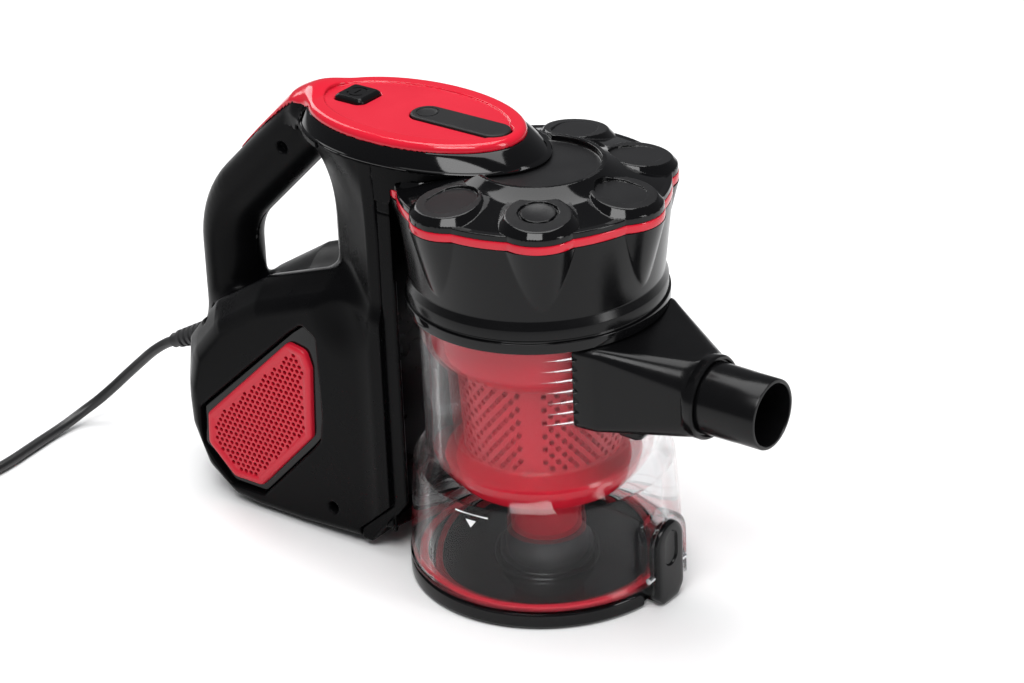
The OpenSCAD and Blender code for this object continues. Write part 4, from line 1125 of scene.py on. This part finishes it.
def make_fill_mark():
    """A line with a small triangle under it."""
    def radius_at(z):
        return 64.6 + (z - 30) * (62.6 - 64.6) / 28.8
    top = [(a, 56.1) for a in np.linspace(-95, -78.5, 12)]
    line = wall_strip(top + [(a, 55.3) for a, _ in top[::-1]], radius_at, 0.03, 0.06)
    arrow = wall_strip([(-89.4, 52.8), (-84.2, 52.8), (-86.8, 49.0)], radius_at, 0.03, 0.06)
    for name, part in (("fill_line", line), ("fill_arrow", arrow)):
        part.name = name
        part.data.materials.append(MARK)
        place(part, "dust_cup", "mark_print")


def mesh_radius(z):
    return 37.5 + (z - 66.5) * 2 / 45.5


def make_shroud():
    top = [(53.3, 147), (53.4, 146.4), (52.0, 138), (51.3, 128), (50.7, 122.4), (50.0, 120.2), (47.2, 116.6),
           (44.2, 114.2), (40.6, 112.4), (39.6, 111.6), (mesh_radius(110.5), 110.5),
           (mesh_radius(110.5) - 1.8, 110.5), (38.0, 114.2), (46.0, 118), (48.8, 123.4), (50.2, 138),
           (51.4, 147)]
    shroud = revolve("shroud_top", top, count=180, shade=30)
    place(shroud, "dust_cup", "satin_red", "shroud")
    foot = [(mesh_radius(68.5), 68.5), (37.7, 67.2), (38.6, 66.3), (44.2, 64.3), (46.2, 63.2), (47, 61.6),
            (46.9, 60.2), (46.1, 57), (44.4, 54.2), (42.2, 51.2), (41.4, 51.1), (40.6, 52), (43.8, 58),
            (44.3, 60.5), (36, 64.6), (mesh_radius(68.5) - 1.8, 68.5)]
    place(revolve("shroud_foot", foot, count=180, shade=30), "dust_cup", "gloss_red")
    points, faces = [], []
    border = ([(i / 4, 0) for i in range(4)] + [(1, 0), (1, 0.5)]
              + [(1 - i / 4, 1) for i in range(4)] + [(0, 1), (0, 0.5)])
    columns, rise, bottom, hole = 40, 3.5, 68.5, 1.35
    for row in range(12):
        for column in range(columns):
            left = -61 + 360 / columns * (column + (0.5 if row % 2 else 0))
            middle = left + 180 / columns
            strip = abs((middle + 61 + 45) % 90 - 45) < 6.5
            base = len(points)
            for depth in (0, 1.8):
                for u, v in border:
                    z = bottom + rise * (row + v)
                    a, r = math.radians(left + 360 / columns * u), mesh_radius(z) - depth
                    points.append((r * math.cos(a), r * math.sin(a), z))
            if strip:
                faces += [tuple(base + i for i in range(12)), tuple(base + 12 + i for i in range(11, -1, -1))]
                continue
            for depth in (0, 1.8):
                for u, v in border:
                    turn = math.atan2((v - 0.5) * rise, (u - 0.5) * 6.05)
                    z = bottom + rise * (row + 0.5) + hole * math.sin(turn)
                    r = mesh_radius(z) - depth
                    a = math.radians(middle) + hole * math.cos(turn) / r
                    points.append((r * math.cos(a), r * math.sin(a), z))
            for i in range(12):
                j = (i + 1) % 12
                faces += [(base + i, base + j, base + 24 + j, base + 24 + i),
                          (base + 12 + j, base + 12 + i, base + 36 + i, base + 36 + j),
                          (base + 24 + i, base + 24 + j, base + 36 + j, base + 36 + i)]
    mesh = weld(mesh_object("shroud_mesh", points, faces), 2e-6)
    place(smooth_by_angle(mesh, 30), "dust_cup", "satin_red")
    tube = [(17, 20.4), (17, 61), (17.6, 62.6), (20, 63.6), (34.2, 66.5), (36.4, 108), (35.2, 108),
            (33.2, 68), (16, 64.4), (15.2, 63), (15.2, 20), (16.6, 20)]
    place(revolve("fines_tube", tube, count=120, shade=35), "dust_cup", "satin_red", "dust_tube")


def make_duct():
    """A box at the cup that turns round towards the nozzle, with a raised ring at its mouth."""
    def section(x, half, low, high, radius, count=16):
        ring = []
        for cy, cz, start in ((half - radius, high - radius, 0), (radius - half, high - radius, 90),
                              (radius - half, low + radius, 180), (half - radius, low + radius, 270)):
            for k in range(count):
                a = math.radians(start + 90 * k / (count - 1))
                ring.append((x, cy + radius * math.cos(a), cz + radius * math.sin(a)))
        return ring

    rings = []
    for x in (44, 54, 55.5, 57, 60, 64, 68, 72, 76, 80, 84, 87, 89.5, 91.5):
        t = max(0, (x - 54.5) / 38.5)
        half = 35 - 16.2 * t - 1.2 * eased(np.array(x), 44, 60)
        rings.append(section(x, float(half), 99 - 2.2 * t, 141.6 - 7.0 * t, 4.5 + 9 * t))
    rings += [section(93.2, 19.7, 95.7, 135.1, 19.6), section(94.2, 20.0, 95.4, 135.4, 19.95),
              section(97.2, 20.0, 95.4, 135.4, 19.95), section(98.3, 19.3, 96.1, 134.7, 19.25),
              section(98.3, 18.4, 97.0, 133.8, 18.35), section(96.6, 17.9, 97.5, 133.3, 17.85),
              section(96.6, 17.25, 98.15, 132.65, 17.2), section(91, 17.25, 98.15, 132.65, 17.2),
              section(86, 14.6, 100.8, 130, 14.5), section(56, 30, 102, 138.6, 5),
              section(44, 31, 102, 138.6, 5)]
    duct = ring_stack("intake_funnel", rings, ends=False, crease=32)
    cut(duct, rod(56.12, 80, 150, count=192))
    place(smooth_by_angle(duct, 32), "dust_cup", "semi_gloss_black", "inlet_duct")
    tab = section(64, 7, 93.4, 99.6, 2.2)
    rings = [[(x, y - 14, z if z > 97 else z + drop) for _, y, z in tab]
             for x, drop in ((58.5, 1.6), (59.5, 0.2), (67.5, 0), (70.5, 1.2), (72, 3.2))]
    place(ring_stack("duct_tab", rings), "dust_cup", "semi_gloss_black")
    tube = [(17.2, 91.2), (17.2, 96.4), (17.1, 98.6), (16.95, 102), (16.8, 114.5), (16.7, 115.5),
            (16.7, 128.2), (16.45, 128.8), (15.9, 129), (15.1, 129), (14.75, 128.7), (14.6, 128),
            (14.6, 91.2)]
    nozzle = revolve("nozzle", tube, axis="x", centre=(0, 0, 115.4), count=120, shade=35)
    place(nozzle, "dust_cup", "semi_gloss_black", "nozzle_tube")


def make_lid():
    profile = [(0, 0), (60, 0), (62.2, 0.5), (64.4, 0.5), (65.4, 0.9), (65.9, 1.7), (65.9, 6.9), (65.5, 7.7),
               (64.9, 7.95), (57.6, 7.95), (57, 7.5), (56.2, 4.6), (55.4, 4), (27, 4), (26.4, 4.6),
               (24.6, 4.6), (24, 4), (0, 4)]
    lid = revolve("lid_plate", profile, closed=False, count=192, shade=30)
    barrel = revolve("tool", [(0, -6), (2.9, -6), (3.2, -5.7), (3.2, 5.7), (2.9, 6), (0, 6)], axis="y",
                     centre=HINGE, closed=False, count=40)
    join(lid, barrel, box_tool((HINGE[0], -6, 2), (-63, 6, 7.9)))
    cut(lid, box_tool((61.9, -12, -1), (72, 12, 9)),
        rod(1.55, -8, 8, "y", HINGE, 40))
    place(smooth_by_angle(lid, 30), "lid", "gloss_black", "bin_lid")
    seal = revolve("seal_ring", filleted([(57.5, 8), (61.6, 8), (61.6, 9.49), (57.5, 9.49)], 0.5))
    place(seal, "lid", "red_rubber", "lid_seal")
    bell = [(16, 4.02), (21.4, 4.02), (22.1, 4.5), (22.5, 7), (22.6, 9.4), (22.0, 12.5), (20.4, 14.8),
            (18.4, 16.6), (17.4, 18.2), (16.9, 19.5), (15.4, 19.6), (14.7, 19.2), (15.0, 17.4), (16.2, 14.6),
            (18.4, 11.8), (18.6, 9.5)]
    place(revolve("dust_bell", bell, count=120, shade=35), "lid", "black_rubber", "fines_collector")


def make_latch():
    edge = [(11 * math.cos(a), 31.5 + 11 * math.sin(a)) for a in np.linspace(0, math.pi, 41)]
    edge += [(-11, 18), (-11, 8), (-10.7, 5.6), (-9.6, 4.1), (-6.6, 1.1), (-5.6, 0.6), (5.6, 0.6), (6.6, 1.1),
             (9.6, 4.1), (10.7, 5.6), (11, 8), (11, 18)]
    rings = []
    for amount, x in ((0.5, 67.4), (0, 67.9), (0, 70.9), (0.3, 71.7), (1.0, 72.2), (2.2, 72.45), (4, 72.55)):
        k = 1 - amount / 11
        rings.append([(x, y * k, 21.5 + (z - 21.5) * (1 - amount / 21)) for y, z in edge])
    latch = ring_stack("lid_latch", rings, crease=35)
    oval = pill(-4, 4, 5.2, steps=18)
    recess = [[(x, y * (1 - d / 5.2), 29 + u * (1 - d / 9)) for u, y in oval]
              for d, x in ((1.0, 71.6), (0.6, 71.65), (0, 72.3), (-0.2, 73.5))]
    cut(latch, ring_stack("tool", recess), box_tool((66, -3.6, 13.4), (71.7, 3.6, 20.6)),
        rod(1.55, -20, 20, "y", LATCH_PIN))
    hook = ring_stack("tool", [[(x, y, z) for y, z in filleted([(-6, 0.7), (6, 0.7), (6, 2.9), (-6, 2.9)],
                                                               0.5)]
                               for x in (62.6, 68.6)])
    join(latch, hook)
    place(smooth_by_angle(latch, 30), "latch", "semi_gloss_black", "bin_latch")


make_cup()
make_fill_mark()
make_shroud()
make_duct()
make_lid()
make_latch()


# ------------------------------------------------------------------ the CAD nodes that stay, floor and light

for name, obj in nodes.items():
    obj.data.materials.clear()
    obj.data.materials.append(MATERIALS[slot_of[name]])


def make_stage():
    bpy.ops.mesh.primitive_plane_add(size=16, location=(0, 0, -0.0003))
    floor = bpy.context.object
    floor.name = "floor"
    floor.data.materials.append(FLOOR)
    world = bpy.data.worlds.new("studio")
    bpy.context.scene.world = world
    world.use_nodes = True
    world.node_tree.nodes["Background"].inputs["Color"].default_value = (0.95, 0.96, 1, 1)
    world.node_tree.nodes["Background"].inputs["Strength"].default_value = 0.2
    for name, spot, aim, width, height, power in (
            ("key", (0.5, -1.3, 2.1), (-0.03, 0, 0.1), 1.3, 0.9, 38),
            ("top", (-0.3, 0.3, 2.5), (-0.03, 0, 0.1), 1.8, 1.8, 56),
            ("rim", (-1.9, 0.7, 1.3), (-0.08, 0, 0.1), 0.8, 1.4, 14),
            ("side", (2.1, 0.2, 1.0), (0, 0, 0.1), 0.5, 1.5, 20)):
        data = bpy.data.lights.new(name, "AREA")
        data.shape = "RECTANGLE"
        data.size, data.size_y, data.energy = width, height, power
        lamp = bpy.data.objects.new(name, data)
        lamp.location = spot
        lamp.rotation_euler = (Vector(spot) - Vector(aim)).to_track_quat("Z", "Y").to_euler()
        bpy.context.scene.collection.objects.link(lamp)
    bpy.context.scene.view_settings.view_transform = "Standard"


make_stage()
